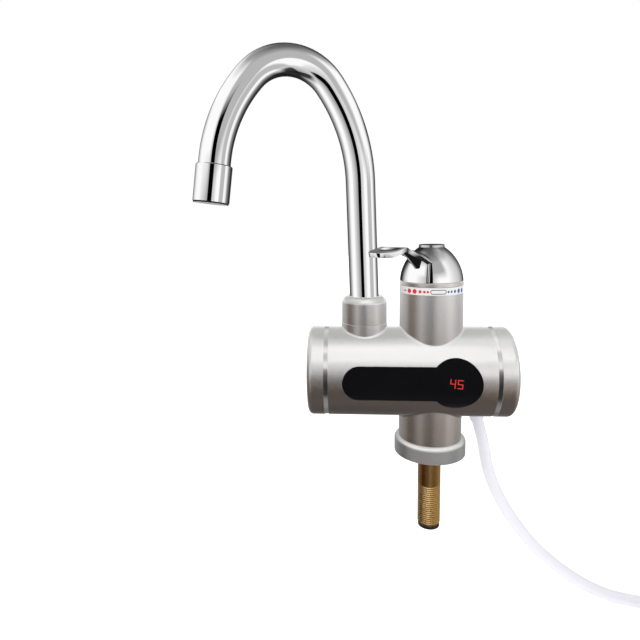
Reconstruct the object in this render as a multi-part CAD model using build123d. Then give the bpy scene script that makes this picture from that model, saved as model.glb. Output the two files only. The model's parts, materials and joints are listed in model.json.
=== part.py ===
"""Electric instant water heater tap: one solid or group of like solids for each piece.

Millimetres. The origin is on the inlet shank's axis where the foot meets the deck, +Z is up,
+X is to the right of the display and -Y is the display side. The pieces are drawn about the
barrel's axis, which crosses the neck's axis, and put() lifts them onto the deck.
"""

from build123d import *
from math import atan2, cos, degrees, pi, radians, sin, sqrt, tan
import os

# Barrel housing
axis_height = 58.2
barrel_r = 31.0
barrel_wall = 2.5
barrel_left = -71.1
barrel_right = 38.85
trim_width = 2.9
trim_sink = 0.35
left_cap_length = 11.25
right_cap_length = 11.35
cap_wall = 2.5
cap_edge_r = 3.5
spigot_length = 5.0
spigot_wall = 3.0
fit_gap = 0.1

# Necks, foot and inlet
upper_neck_r = 21.6
neck_wall = 2.5
neck_blend = 1.6
shoulder_z = 56.2
lower_neck_r = 21.7
foot_r = 24.8
foot_height = 11.2
foot_seat = 8.2
foot_edge_r = 2.8
gasket_depth = 2.0
gasket_inner_r = 12.0
gasket_outer_r = 20.0
shank_r = 8.0
shank_bore_r = 5.5
shank_below_deck = 55.0
shank_neck_r = 7.2
shank_collar_r = 13.0
shank_collar_height = 4.8
shank_spigot = 12.0
end_seal_height = 1.8
end_seal_r = 7.6
end_seal_bore_r = 5.8

# Rings and cartridge
index_height = 5.0
index_wall = 0.9
bezel_height = 2.8
bezel_r = 21.7
valve_r = 12.0
valve_flange_r = 18.8
valve_flange_z = 16.0
valve_top = 22.0
valve_port_r = 2.5
cartridge_r = 17.3
cartridge_top = 50.0
cartridge_wall = 3.0
journal_r = 6.0
journal_gap = 0.06
journal_top = 60.0
nut_height = 9.6
disc_height = 4.0
disc_r = 12.4
disc_hole_r = 2.4
stem_square = 8.0
stem_flange_r = 9.0

# Handle
lever_azimuth = 235.0
dome_base = 64.3
dome_base_r = 21.4
dome_crest_r = 8.42
dome_bulge = 3.08
dome_top = 87.0
dome_bore_r = 6.0
dome_wall = 3.4
hub_r = 8.4
hub_drop = 15.0
hub_web = 4.0
cap_r = 8.6
cap_height = 1.8
cap_spigot = 3.0
screw_r = 2.0
screw_head_r = 3.6
screw_head = 3.0
screw_depth = 8.0
lever_reach = 66.0
lever_tip_r = 4.0
lever_thickness = 2.8
ridge_inner = 7.3
ridge_width = 1.8
facet_reach = 19.5
facet_drop = 12.8
rib_width = 2.2
dish_r = 6.3
dish_depth = 0.5
dish_reach = 55.0
dish_rise = 1.7

# Spout
swivel_x = -46.2
collar_r = 15.8
boss_top = 34.7
boss_bore_r = 12.5
collar_top = 53.5
collar_top_r = 11.8
collar_step = 44.0
collar_hole_gap = 0.4
socket_gap = 0.05
foot_outer_r = 11.3
socket_bottom = 22.0
socket_floor = 6.0
socket_top = 41.5
swivel_gap = 0.3
spout_seat = 36.5
seal_wire = 1.7
tube_r = 10.0
tube_wall = 1.2
spout_azimuth = 203.8
lean = 1.9
lean_bend_r = 60.0
lean_start = 52.0
leg_length = 77.9
rise_bend_r = 110.0
rise_turn = 35.05
crown_bend_r = 34.0
crown_turn = 101.4
fall_bend_r = 98.0
fall_turn = 34.4
nose_length = 26.4
sleeve_r = 11.33
sleeve_length = 23.7
rim_height = 0.9
aerator_depth = 8.0
aerator_face_r = 8.6
aerator_hole_r = 0.7

# Display
window_drop = 0.9
window_half = 11.5
window_left = -50.2
dial_x = 12.2
dial_r = 17.0
lens_sink = 1.4
lens_proud = 0.25
lens_ledge = 2.0
digit_height = 6.0
digit_width = 3.6
digit_pitch = 4.8
digit_slant = 5.0
segment = 0.6
digit_depth = 0.4

# Heater
chamber_r = 21.6
chamber_wall = 3.6
chamber_left = -70.0
chamber_right = -32.0
cover_height = 4.0
cover_screw_r = 1.25
cover_screw_length = 8.0
element_r = 2.5
element_loops = ((11.0, -39.0, 0.0), (7.0, -46.0, 90.0))
element_end = -79.0
cover_spigot = 5.0
nipple_r = 6.0
nipple_bore_r = 4.0
cutout_r = 4.5
cutout_height = 4.0

# Flow switch
switch_x = -23.0
switch_r = 8.0
switch_bottom = -24.0
switch_top = 4.0
switch_end_wall = 3.0
piston_r = 5.0
piston_gap = 0.05
piston_bottom = -14.0
piston_height = 6.0
piston_lift = 4.0
spring_r = 3.6
spring_wire_r = 0.3
spring_turns = 5
port_r = 3.4
port_in_z = -18.0
port_out_z = -4.5
bypass_r = 2.3
bypass_bore_r = 1.5
bypass_z = 9.5
bypass_up_x = -25.0
bypass_top_z = 25.2
bypass_bend_r = 6.0

# Electronics
board_inset = 10.5
board_thickness = 1.6
board_left = -10.0
board_right = 33.5
board_bottom = -17.0
board_top = 15.0
post_r = 1.8
post_places = ((-7.0, 12.9), (30.5, 12.9), (-7.0, -15.0), (30.5, -15.0))
module_x = (4.0, 20.5)
module_half = 6.0
module_gap = 1.0
relay_box = (14.0, 28.5, 10.0, -16.0, 0.0)
block_box = (14.0, 28.5, 10.0, 2.0, 14.0)
block_screws = 5
block_screw_r = 1.2
micro_box = (-27.0, -19.0, -13.5, -14.0, 0.0)
micro_back = -6.5
mains_wire_r = 1.0
heater_wire_r = 1.3
heater_wire_radius = 23.6

# Cable entry
gland_x = 32.0
gland_y = 20.0
gland_tilt = 17.0
boot_length = 20.0
boot_root_r = 5.8
boot_tip_r = 4.9
gland_flange_r = 6.3
gland_flange = 4.6
gland_neck_r = 4.9
clamp_r = 7.2
clamp_height = 4.0
clamp_depth = 9.0
sheath_inside = 14.0

# Cord
cord_r = 4.25
cord_gap = 0.05
cord_route = (
    (37.85, 20.0, 15.38),
    (42.53, 20.0, 0.08),
    (46.5, 20.0, -27.0),
    (59.0, 20.0, -60.0),
    (85.0, 20.0, -94.0),
    (124.0, 20.0, -120.5),
    (160.0, 16.0, -124.7),
    (197.5, 16.0, -124.7),
)
floor_z = -130.0
coil_x = 206.0
coil_y = -36.0
coil_r = 52.0
coil_pitch = 10.3
coil_lift = 9.0
coil_ease = 0.25
coil_inward = 1.25
coil_climb = 0.5
coil_outward = 1.25
tail_route = (
    (214.5, 16.0, -115.7),
    (229.0, 16.0, -115.7),
    (243.6, 12.6, -113.6),
    (256.6, 6.3, -111.5),
    (268.0, -2.6, -111.5),
)
tie_width = 5.0
tie_thickness = 0.8
tie_gap = 0.25
tie_head = 4.5

# Plug
plug_face_r = 18.5
plug_body = 36.0
plug_neck_r = 9.0
plug_boot = 26.0
plug_boot_r = 6.2
pin_r = 2.4
pin_length = 19.0
pin_spacing = 19.0
pin_root = 8.0

# Worked out from the sizes above
barrel_bore = barrel_r - barrel_wall
left_ring_edge = barrel_left - trim_width
right_ring_edge = barrel_right + trim_width
left_end = left_ring_edge - left_cap_length
right_end = right_ring_edge + right_cap_length
spigot_r = barrel_bore - fit_gap
upper_bore = upper_neck_r - neck_wall
lower_bore = lower_neck_r - neck_wall
deck_z = -axis_height
neck_foot_z = deck_z + foot_seat
shank_collar_top = neck_foot_z + shank_collar_height
index_top = shoulder_z + index_height
sleeve_outer = upper_neck_r - index_wall - fit_gap
foot_top = socket_top - swivel_gap
socket_floor_top = socket_bottom + socket_floor
spout_foot_z = socket_floor_top + swivel_gap
socket_bore = foot_outer_r + socket_gap
valve_bottom = shank_collar_top
cavity_r = cartridge_r - cartridge_wall
cavity_floor = valve_top + 8.0
moving_disc_z = cavity_floor + disc_height + 0.08
stem_flange_z = moving_disc_z + disc_height
stem_flange_top = stem_flange_z + disc_height
stem_top = dome_top - hub_drop
hub_floor = stem_top
web_top = hub_floor + hub_web
board_face = board_inset - barrel_bore
board_back = board_face - board_thickness
module_front = module_gap - barrel_bore
piston_top = piston_bottom + piston_height
switch_bore = piston_r + piston_gap
chamber_bore = chamber_r - chamber_wall
cover_left = chamber_left - cover_height


def disc(r, z0, z1, x=0.0, y=0.0):
    """A round bar standing along Z."""
    return Pos(x, y, (z0 + z1) / 2) * Cylinder(r, z1 - z0)


def ring(outer, inner, z0, z1, x=0.0, y=0.0):
    """A round tube standing along Z."""
    return disc(outer, z0, z1, x, y) - disc(inner, z0 - 1, z1 + 1, x, y)


def bar(r, x0, x1, y=0.0, z=0.0):
    """A round bar lying along X."""
    return Pos((x0 + x1) / 2, y, z) * Rot(0, 90, 0) * Cylinder(r, x1 - x0)


def band(outer, inner, x0, x1, y=0.0, z=0.0):
    """A round tube lying along X."""
    return bar(outer, x0, x1, y, z) - bar(inner, x0 - 1, x1 + 1, y, z)


def post(r, y0, y1, x, z):
    """A round bar lying along Y."""
    return Pos(x, (y0 + y1) / 2, z) * Rot(90, 0, 0) * Cylinder(r, y1 - y0)


def block(x0, x1, y0, y1, z0, z1):
    """A box between two corners."""
    return Pos((x0 + x1) / 2, (y0 + y1) / 2, (z0 + z1) / 2) * Box(x1 - x0, y1 - y0, z1 - z0)


def turned(*edges):
    """The solid turned about Z from a closed outline in the XZ plane."""
    return revolve(make_face(Wire(edges)), Axis.Z)


def o_ring(radius, wire, z=0.0):
    """A rubber ring lying flat, by its middle radius."""
    return Pos(0, 0, z) * Torus(radius, wire)


def tube(path, r):
    """A round bar along a path, square to its start."""
    return sweep(Plane(origin=path @ 0, z_dir=path % 0) * Circle(r), path=path)


def corner_radii(points, share=0.45):
    """The radius at each inner point: a share of the shorter run over the half turn's tangent."""
    spots = [Vector(*p) for p in points]
    radii = []
    for before, here, after in zip(spots, spots[1:], spots[2:]):
        run_in = here - before
        run_out = after - here
        half = radians(run_in.get_angle(run_out)) / 2
        radii.append(share * min(run_in.length, run_out.length) / tan(half))
    return radii


def put(node, *solids):
    """Lift a node's solids onto the deck and write them."""
    lifted = [Pos(0, 0, axis_height) * solid for solid in solids]
    lay(node, *lifted)


def lay(node, *solids):
    """Write a node whose solids already stand in the deck's frame."""
    flat = [part for solid in solids for part in solid.solids()]
    shape = flat[0] if len(flat) == 1 else Compound(children=flat)
    export_step(shape, f"parts/{node}.step")


def window_outline(margin):
    """The display's outline seen from the front, grown by a margin."""
    bar_length = dial_x - window_left
    middle = (window_left + dial_x) / 2
    shape = Pos(middle, 0) * Rectangle(bar_length, 2 * (window_half + margin))
    shape += Pos(window_left, 0) * Circle(window_half + margin)
    shape += Pos(dial_x, 0) * Circle(dial_r + margin)
    return Pos(0, -window_drop) * shape


def window_prism(margin):
    """The display's outline pushed back from in front of the barrel to its axis."""
    front = Plane(origin=(0, -2 * barrel_r, 0), x_dir=(1, 0, 0), z_dir=(0, -1, 0))
    return extrude(front * window_outline(margin), amount=-2 * barrel_r)


def gland_axis():
    """The place on the barrel where the cable enters, and the way it leaves."""
    surface = -sqrt(barrel_r**2 - gland_y**2)
    away = Vector(sin(radians(gland_tilt)), 0, -cos(radians(gland_tilt)))
    return Vector(gland_x, gland_y, surface), away


def along_gland(r, start, end, end_r=None):
    """A round bar or taper about the cable's axis, by distances from the barrel's skin."""
    place, away = gland_axis()
    ground = Plane(origin=place + away * start, z_dir=away)
    if end_r is None:
        return extrude(ground * Circle(r), amount=end - start)
    tip = Plane(origin=place + away * end, z_dir=away)
    return loft([ground * Circle(r), tip * Circle(end_r)])


def housing():
    shell = bar(barrel_r, barrel_left, barrel_right)
    shell += disc(upper_neck_r, 0, shoulder_z)
    shell += disc(sleeve_outer, 0, index_top)
    shell += disc(lower_neck_r, neck_foot_z, 0)
    shell += disc(collar_r, 0, boss_top, swivel_x)
    seams = [e for e in shell.edges() if e.geom_type not in (GeomType.LINE, GeomType.CIRCLE)]
    shell = fillet(seams, neck_blend)
    shell -= bar(barrel_bore, barrel_left - 1, barrel_right + 1)
    shell -= disc(upper_bore, 0, index_top + 1)
    shell -= disc(lower_bore, neck_foot_z - 1, 0)
    shell -= disc(boss_bore_r, 0, boss_top + 1, swivel_x)
    skin = band(2 * barrel_r, barrel_r - lens_sink - fit_gap, barrel_left, barrel_right)
    shell -= window_prism(fit_gap) & skin
    shell -= window_prism(-lens_ledge) & band(2 * barrel_r, barrel_bore - 1, barrel_left, barrel_right)
    shell -= along_gland(gland_neck_r + fit_gap, -sheath_inside, 9)
    return shell


def end_cap(side):
    """The barrel's end, with a spigot through the trim ring into the housing."""
    edge = left_ring_edge if side < 0 else right_ring_edge
    length = left_cap_length if side < 0 else right_cap_length
    mouth = barrel_left if side < 0 else barrel_right
    far = edge + side * length
    cup = bar(barrel_r, min(edge, far), max(edge, far))
    rim = [e for e in cup.edges().filter_by(GeomType.CIRCLE) if abs(e.center().X - far) < 0.01]
    cup = fillet(rim, cap_edge_r)
    tip = mouth - side * spigot_length
    cup += bar(spigot_r, min(edge, tip), max(edge, tip))
    inside = far - side * cap_wall
    cup -= bar(spigot_r - spigot_wall, min(inside, tip - side), max(inside, tip - side))
    groove = (edge + mouth) / 2
    cup -= Pos(groove, 0, 0) * Rot(0, 90, 0) * Torus(spigot_r - 1.0, 1.05)
    if side > 0:
        cup -= along_gland(clamp_r + 1.0, -30, 9)
    return cup


def trim_ring(mouth, edge):
    return band(barrel_r - trim_sink, barrel_bore, min(mouth, edge), max(mouth, edge))


def cap_seals():
    seals = []
    for mouth, edge in ((barrel_left, left_ring_edge), (barrel_right, right_ring_edge)):
        place = Pos((mouth + edge) / 2, 0, 0) * Rot(0, 90, 0)
        seals.append(place * Torus(spigot_r - 1.0, 1.0))
    return seals


def digit_segments():
    """The lit strokes of the number 45, as thin boxes drawn at the front and slanted."""
    strokes = {"4": "flmr", "5": "tfmrb"}
    half = digit_height / 2
    side = digit_width / 2
    reach = half - segment / 2
    spots = {
        "t": (0, reach, digit_width, segment),
        "m": (0, 0, digit_width, segment),
        "b": (0, -reach, digit_width, segment),
        "f": (-side + segment / 2, half / 2, segment, half),
        "r": (side - segment / 2, -half / 2, segment, half),
        "l": (side - segment / 2, half / 2, segment, half),
    }
    shape = Sketch()
    for place, figure in ((-digit_pitch / 2, "4"), (digit_pitch / 2, "5")):
        for stroke in strokes[figure]:
            x, z, wide, tall = spots[stroke]
            shape += Pos(place + x, z) * Rectangle(wide, tall)
    front = Plane(origin=(dial_x, -2 * barrel_r, 0), x_dir=(1, 0, 0), z_dir=(0, -1, 0))
    flat = Rot(0, 0, -digit_slant) * shape
    return extrude(front * flat, amount=-2 * barrel_r)


def digits():
    face = barrel_r + lens_proud
    skin = band(face, face - digit_depth, barrel_left, barrel_right)
    return digit_segments() & skin


def display_window():
    skin = band(barrel_r + lens_proud, barrel_r - lens_sink, barrel_left, barrel_right)
    return (window_prism(0) & skin) - digits()


def control_board():
    board = block(board_left, board_right, board_back, board_face, board_bottom, board_top)
    for x, z in post_places:
        board -= post(post_r / 2, board_back - 1, board_face + 1, x, z)
    return board


def board_posts():
    """Posts from the barrel's inner wall to the board, each with a pin through its hole."""
    posts = []
    for x, z in post_places:
        wall = -sqrt(barrel_bore**2 - (abs(z) - post_r) ** 2)
        stand = post(post_r, wall, board_back, x, z) & bar(barrel_bore, barrel_left, barrel_right)
        stand += post(post_r / 2 - fit_gap / 2, board_back, board_face + 1, x, z)
        posts.append(stand)
    return posts


def display_module():
    left, right = module_x
    case = block(left, right, module_front, board_back, -module_half, module_half)
    return fillet(case.edges().filter_by(Axis.Y), 0.6)


def boxed(sizes):
    """A component on the board's back: (left, right, depth, bottom, top)."""
    left, right, depth, bottom, top = sizes
    return block(left, right, board_face, board_face + depth, bottom, top)


def relay():
    return fillet(boxed(relay_box).edges().filter_by(Axis.Y), 0.8)


def block_screw_x(index):
    left, right = block_box[0], block_box[1]
    return left + (right - left) * (index + 0.5) / block_screws


def terminal_block():
    body = boxed(block_box)
    top = block_box[4]
    middle = board_face + block_box[2] / 2
    for index in range(block_screws):
        x = block_screw_x(index)
        body -= disc(block_screw_r + 0.05, top - 6, top + 1, x, middle)
    return body


def terminal_screws():
    top = block_box[4]
    middle = board_face + block_box[2] / 2
    screws = []
    for index in range(block_screws):
        x = block_screw_x(index)
        screw = disc(1.6, top, top + 1.2, x, middle) + disc(block_screw_r, top - 6, top, x, middle)
        screw -= block(x - 1.1, x + 1.1, middle - 0.2, middle + 0.2, top + 0.7, top + 2)
        screws.append(screw)
    return screws


def base_ring():
    """The foot: a plate under the neck and a rim around it with a rounded top edge."""
    top = deck_z + foot_height
    inner = lower_neck_r + fit_gap
    corner = foot_r - foot_edge_r
    rise = top - foot_edge_r
    shoulder = foot_edge_r * cos(radians(45))
    edges = [
        Line((shank_r + fit_gap, 0, deck_z), (foot_r, 0, deck_z)),
        Line((foot_r, 0, deck_z), (foot_r, 0, rise)),
        ThreePointArc((foot_r, 0, rise), (corner + shoulder, 0, rise + shoulder), (corner, 0, top)),
        Line((corner, 0, top), (inner, 0, top)),
        Line((inner, 0, top), (inner, 0, neck_foot_z)),
        Line((inner, 0, neck_foot_z), (shank_r + fit_gap, 0, neck_foot_z)),
        Line((shank_r + fit_gap, 0, neck_foot_z), (shank_r + fit_gap, 0, deck_z)),
    ]
    foot = turned(*edges)
    return foot - ring(gasket_outer_r, gasket_inner_r, deck_z - 1, deck_z + gasket_depth)


def inlet_shank():
    """The inlet tube: full size below the deck, slimmer inside the foot, with a seat above it."""
    shank = disc(shank_r, deck_z - shank_below_deck, deck_z)
    tip = shank.edges().filter_by(GeomType.CIRCLE).sort_by(Axis.Z)[0]
    body = chamfer(tip, 0.8) + disc(shank_neck_r, deck_z, shank_collar_top + shank_spigot)
    body += disc(shank_collar_r, neck_foot_z, shank_collar_top)
    return body - disc(shank_bore_r, deck_z - 2 * shank_below_deck, cartridge_top)


def valve_body():
    """The manifold: inlet from below, side ports to the flow switch and the bypass."""
    body = disc(valve_r, valve_bottom, valve_top) + disc(valve_flange_r, valve_flange_z, valve_top)
    body -= disc(shank_neck_r + fit_gap, valve_bottom - 1, valve_bottom + shank_spigot)
    body -= disc(shank_bore_r - 0.5, valve_bottom, valve_bottom + shank_spigot + 4)
    body -= bar(port_r + 0.05, -valve_r - 1, -valve_r + 4, 0, port_in_z)
    body -= bar(valve_port_r, -valve_r, -6, 0, port_in_z)
    body -= disc(valve_port_r, port_in_z, valve_top + 1, -6)
    body -= bar(bypass_r, -valve_r - 1, -valve_r + 3, 0, bypass_z)
    body -= disc(valve_port_r, valve_bottom + shank_spigot, valve_top + 1, 5)
    return body


def index_ring():
    return ring(upper_neck_r - fit_gap, sleeve_outer + fit_gap / 2, shoulder_z, index_top)


def bezel_ring():
    body = ring(bezel_r, upper_bore, index_top, index_top + bezel_height)
    outer = [e for e in body.edges().filter_by(GeomType.CIRCLE) if e.radius > upper_bore + 1]
    return chamfer(outer, 0.25)


def cartridge_body():
    body = disc(cartridge_r, valve_top, cartridge_top) + disc(valve_r, 0, journal_top - 2)
    body -= disc(valve_r + 1, -1, valve_top)
    body -= disc(cavity_r, cavity_floor, cartridge_top - cartridge_wall)
    body -= disc(journal_r + journal_gap, cavity_floor, journal_top + 1)
    for x in (-6, 5):
        body -= disc(valve_port_r, valve_top - 1, cavity_floor + 1, x)
    return body


def cartridge_nut():
    outer = upper_bore - swivel_gap
    nut = ring(outer, valve_r + swivel_gap, cartridge_top, cartridge_top + nut_height)
    for turn in range(6):
        notch = block(outer - 2.2, outer + 1, -2, 2, cartridge_top + 5, cartridge_top + nut_height + 1)
        nut -= Rot(0, 0, 60 * turn) * notch
    return nut


def fixed_disc():
    body = disc(cavity_r - fit_gap, cavity_floor, cavity_floor + disc_height)
    for x in (-6, 5):
        body -= disc(disc_hole_r, cavity_floor - 1, cavity_floor + disc_height + 1, x)
    return body


def moving_disc():
    body = disc(disc_r, moving_disc_z, stem_flange_z)
    return body - block(-9, 8, -disc_hole_r, disc_hole_r, moving_disc_z - 1, moving_disc_z + 2)


def cartridge_stem():
    body = disc(stem_flange_r, stem_flange_z, stem_flange_top)
    body += disc(journal_r, stem_flange_top, journal_top)
    half = stem_square / 2
    body += block(-half, half, -half, half, journal_top, stem_top)
    return body - disc(screw_r + 0.05, stem_top - screw_depth, stem_top + 1)


def arm_section(reach, half, edge_rise, crown_rise):
    """One cross-section of the lever, an arched strap, by its heights over the dome's top."""
    low = lever_thickness
    edge_z = dome_top + edge_rise
    crown_z = dome_top + crown_rise
    right = (reach, half, edge_z)
    left = (reach, -half, edge_z)
    right_low = (reach, half, edge_z - low)
    left_low = (reach, -half, edge_z - low)
    edges = [
        ThreePointArc(left, (reach, 0, crown_z), right),
        Line(right, right_low),
        ThreePointArc(right_low, (reach, 0, crown_z - low), left_low),
        Line(left_low, left),
    ]
    return make_face(Wire(edges))


def lever_arm():
    """The strap from the dome to the finger plate, through its measured cross-sections."""
    sections = (
        (13.0, 9.5, -11.5, -4.2),
        (22.0, 9.5, -9.4, -1.6),
        (30.0, 9.3, -5.4, -0.7),
        (40.0, 8.5, -1.4, 1.3),
        (50.0, 9.0, 1.0, 2.0),
        (58.0, 9.5, 1.1, 1.5),
        (lever_reach, 9.5, -0.4, -0.1),
    )
    arm = loft([arm_section(*section) for section in sections])
    sheet = Pos(lever_reach / 2, 0) * Rectangle(lever_reach, 2 * sections[-1][1])
    corners = [v for v in sheet.vertices() if v.X > lever_reach - 1]
    arm &= extrude(fillet(corners, lever_tip_r), amount=2 * dome_top)
    bowl_r = (dish_r**2 + dish_depth**2) / (2 * dish_depth)
    return arm - Pos(dish_reach, 0, dome_top + dish_rise - dish_depth + bowl_r) * Sphere(bowl_r)


def lever_ridges():
    """The two walls under the strap, from the dome's foot up to the strap's edges."""
    top = dome_top
    back = facet_reach - 2
    foot = (back, 0, dome_base)
    edges = [
        Line(foot, (20.2, 0, dome_base)),
        Line((20.2, 0, dome_base), (20.6, 0, top - 17.0)),
        ThreePointArc((20.6, 0, top - 17.0), (22.6, 0, top - 11.8), (30.0, 0, top - 7.4)),
        Line((30.0, 0, top - 7.4), (30.0, 0, top - 6.0)),
        Line((30.0, 0, top - 6.0), (22.0, 0, top - 10.0)),
        Line((22.0, 0, top - 10.0), (back, 0, top - 11.0)),
        Line((back, 0, top - 11.0), foot),
    ]
    face = make_face(Wire(edges))
    walls = []
    for side in (-1, 1):
        wall = extrude(face, amount=ridge_width, dir=(0, side, 0))
        walls.append(Pos(0, side * ridge_inner, 0) * wall)
    return walls


def lever_rib():
    """The thin rib on the strap's underside."""
    top = dome_top
    edges = [
        Line((16.0, 0, top - 12.2), (22.5, 0, top - 12.8)),
        ThreePointArc((22.5, 0, top - 12.8), (29.5, 0, top - 8.4), (40.0, 0, top - 3.6)),
        Line((40.0, 0, top - 3.6), (40.0, 0, top - 0.1)),
        Line((40.0, 0, top - 0.1), (16.0, 0, top - 4.4)),
        Line((16.0, 0, top - 4.4), (16.0, 0, top - 12.2)),
    ]
    face = make_face(Wire(edges))
    return Pos(0, rib_width / 2, 0) * extrude(face, amount=rib_width, dir=(0, -1, 0))


def dome(offset):
    """The dome's solid, its side bulging from foot to crest, drawn in by an offset."""
    foot = Vector(dome_base_r - offset, 0, dome_base)
    crest = Vector(dome_crest_r - offset / 4, 0, dome_top - offset)
    chord = crest - foot
    outward = Vector(chord.Z, 0, -chord.X).normalized()
    middle = (foot + crest) / 2 + outward * dome_bulge
    return turned(
        Line((0, 0, dome_base), foot),
        ThreePointArc(foot, middle, crest),
        Line(crest, (0, 0, dome_top - offset)),
        Line((0, 0, dome_top - offset), (0, 0, dome_base)),
    )


def handle():
    """The dome with its lever, drawn with the lever along +X."""
    body = dome(0) + lever_arm()
    for wall in lever_ridges():
        body += wall
    body += lever_rib()
    facet_top = dome_top - facet_drop
    facet = block(facet_reach, 30, -ridge_inner, ridge_inner, dome_base - 1, facet_top)
    body -= facet
    hollow = dome(dome_wall) + disc(dome_base_r - dome_wall, dome_base - 9, dome_base + 1)
    body -= hollow - disc(hub_r, dome_base, dome_top)
    body -= disc(dome_bore_r, web_top, dome_top + 1)
    body -= disc(screw_r + 0.1, hub_floor - 1, web_top + 1)
    half = stem_square / 2 + fit_gap / 2
    body -= block(-half, half, -half, half, dome_base - 1, hub_floor)
    return Rot(0, 0, lever_azimuth) * body


def handle_screw():
    head = disc(screw_head_r, web_top, web_top + screw_head)
    head -= Pos(0, 0, web_top + screw_head - 1) * extrude(RegularPolygon(1.6, 6), amount=9)
    return head + disc(screw_r, stem_top - screw_depth + 1, web_top)


def handle_cap():
    top = dome_top + cap_height
    plug = disc(cap_r, dome_top, top)
    rim = [e for e in plug.edges().filter_by(GeomType.CIRCLE) if e.center().Z > top - 0.1]
    plug = fillet(rim, 0.6)
    return plug + disc(dome_bore_r - fit_gap / 2, dome_top - cap_spigot, dome_top)


def spout_collar():
    """The retaining ring over the boss, with a rounded shoulder."""
    inner = tube_r + collar_hole_gap
    knee = collar_r - 0.2
    bevel = 0.25
    return turned(
        Line((boss_bore_r, 0, boss_top), (collar_r - 2 * bevel, 0, boss_top)),
        Line((collar_r - 2 * bevel, 0, boss_top), (collar_r - 0.2, 0, boss_top + bevel)),
        Line((collar_r - 0.2, 0, boss_top + bevel), (knee, 0, collar_top - 4.5)),
        ThreePointArc((knee, 0, collar_top - 4.5), (14.4, 0, collar_top - 1.7), (collar_top_r, 0, collar_top)),
        Line((collar_top_r, 0, collar_top), (inner, 0, collar_top)),
        Line((inner, 0, collar_top), (inner, 0, collar_step)),
        Line((inner, 0, collar_step), (boss_bore_r, 0, collar_step)),
        Line((boss_bore_r, 0, collar_step), (boss_bore_r, 0, boss_top)),
    )


def spout_socket():
    """The fixed bearing in the boss: an open cup with the hot and cold ways in its floor."""
    outer = boss_bore_r - fit_gap
    cup = disc(outer, socket_bottom, socket_top) - disc(socket_bore, socket_floor_top, socket_top + 1)
    body = Rot(0, 0, 90) * cup
    body -= disc(nipple_r + 0.05, socket_bottom - 1, socket_bottom + 1.5)
    body -= disc(nipple_bore_r, socket_bottom, socket_floor_top + 1)
    body -= bar(bypass_r, outer - 4, outer + 1, 0, bypass_top_z)
    return body - bar(bypass_bore_r, 0, outer, 0, bypass_top_z)


def slip_ring():
    return ring(boss_bore_r - fit_gap, tube_r + swivel_gap, socket_top, collar_step)


def seal_heights():
    return (spout_foot_z + 2.0, spout_foot_z + 5.4)


def spout_foot():
    body = disc(foot_outer_r, spout_foot_z, foot_top)
    body -= disc(tube_r + 0.03, spout_seat, foot_top + 1)
    body -= disc(tube_r - tube_wall - 1.5, spout_foot_z - 1, spout_seat + 1)
    for z in seal_heights():
        body -= ring(foot_outer_r + 1, foot_outer_r - seal_wire, z - seal_wire / 2, z + seal_wire / 2)
    return body


def spout_seals():
    wire = seal_wire / 2 - 0.01
    return [o_ring(foot_outer_r - wire, wire, z) for z in seal_heights()]


def spout_path():
    """The gooseneck's centre line in the XZ plane, from the foot's seat to the nose."""
    up = Line((0, 0, spout_seat), (0, 0, lean_start))
    pieces = [up]
    heading = 90.0

    def on(line):
        pieces.append(line)
        return line

    def bend(radius, turn):
        nonlocal heading
        start = pieces[-1] @ 1
        middle = heading - turn / 2
        chord = 2 * radius * sin(radians(turn / 2))
        half_chord = 2 * radius * sin(radians(turn / 4))
        quarter = heading - turn / 4
        via = start + half_chord * Vector(cos(radians(quarter)), 0, sin(radians(quarter)))
        end = start + chord * Vector(cos(radians(middle)), 0, sin(radians(middle)))
        on(ThreePointArc(start, via, end))
        heading -= turn

    def run(length):
        start = pieces[-1] @ 1
        step = length * Vector(cos(radians(heading)), 0, sin(radians(heading)))
        on(Line(start, start + step))

    bend(lean_bend_r, lean)
    run(leg_length)
    bend(rise_bend_r, rise_turn)
    bend(crown_bend_r, crown_turn)
    bend(fall_bend_r, fall_turn)
    run(nose_length)
    return pieces


def at_spout(shape):
    """Turn a shape drawn in the XZ plane to the spout's bearing and set it on the swivel axis."""
    return Pos(swivel_x, 0, 0) * Rot(0, 0, spout_azimuth) * shape


def nose_place(back):
    """The plane across the nose at a distance back from its end, facing out of it."""
    last = spout_path()[-1]
    away = last % 1
    return Plane(origin=last @ 1 - away * back, x_dir=(0, 1, 0), z_dir=away)


def nose_bar(r, back, length):
    return extrude(nose_place(back) * Circle(r), amount=length)


def spout_tube():
    path = Wire(spout_path())
    outer = sweep(Plane(origin=path @ 0, z_dir=path % 0) * Circle(tube_r), path=path)
    inner = sweep(Plane(origin=path @ 0, z_dir=path % 0) * Circle(tube_r - tube_wall), path=path)
    return outer - inner - nose_bar(tube_r + 1, rim_height + aerator_depth, 20)


def outlet_sleeve():
    body = nose_bar(sleeve_r, sleeve_length, sleeve_length - rim_height)
    ends = body.edges().filter_by(GeomType.CIRCLE).sort_by(Axis.Z)
    body = chamfer(ends[-1], 0.6)
    return body - nose_bar(tube_r + 0.03, sleeve_length + 1, sleeve_length + 1)


def aerator_insert():
    """The screen cup in the sleeve, with its face of fine holes inside the rim."""
    body = nose_bar(tube_r, rim_height + aerator_depth, aerator_depth)
    body += nose_bar(aerator_face_r, rim_height, rim_height - 0.2)
    body -= nose_bar(aerator_face_r - 1.2, rim_height + aerator_depth, aerator_depth - 2)
    holes = [(0, 0)]
    for count, radius in ((6, 2.4), (12, 4.8)):
        holes += [(radius, 360 * k / count) for k in range(count)]
    spots = [Vector(r * cos(radians(a)), r * sin(radians(a))) for r, a in holes]
    cut = Sketch() + [Pos(spot.X, spot.Y) * Circle(aerator_hole_r) for spot in spots]
    return body - extrude(nose_place(4) * cut, amount=9)


def aerator_washer():
    rim = nose_bar(sleeve_r - 0.3, rim_height, rim_height)
    return rim - nose_bar(aerator_face_r + 0.02, 2, 4)


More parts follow.
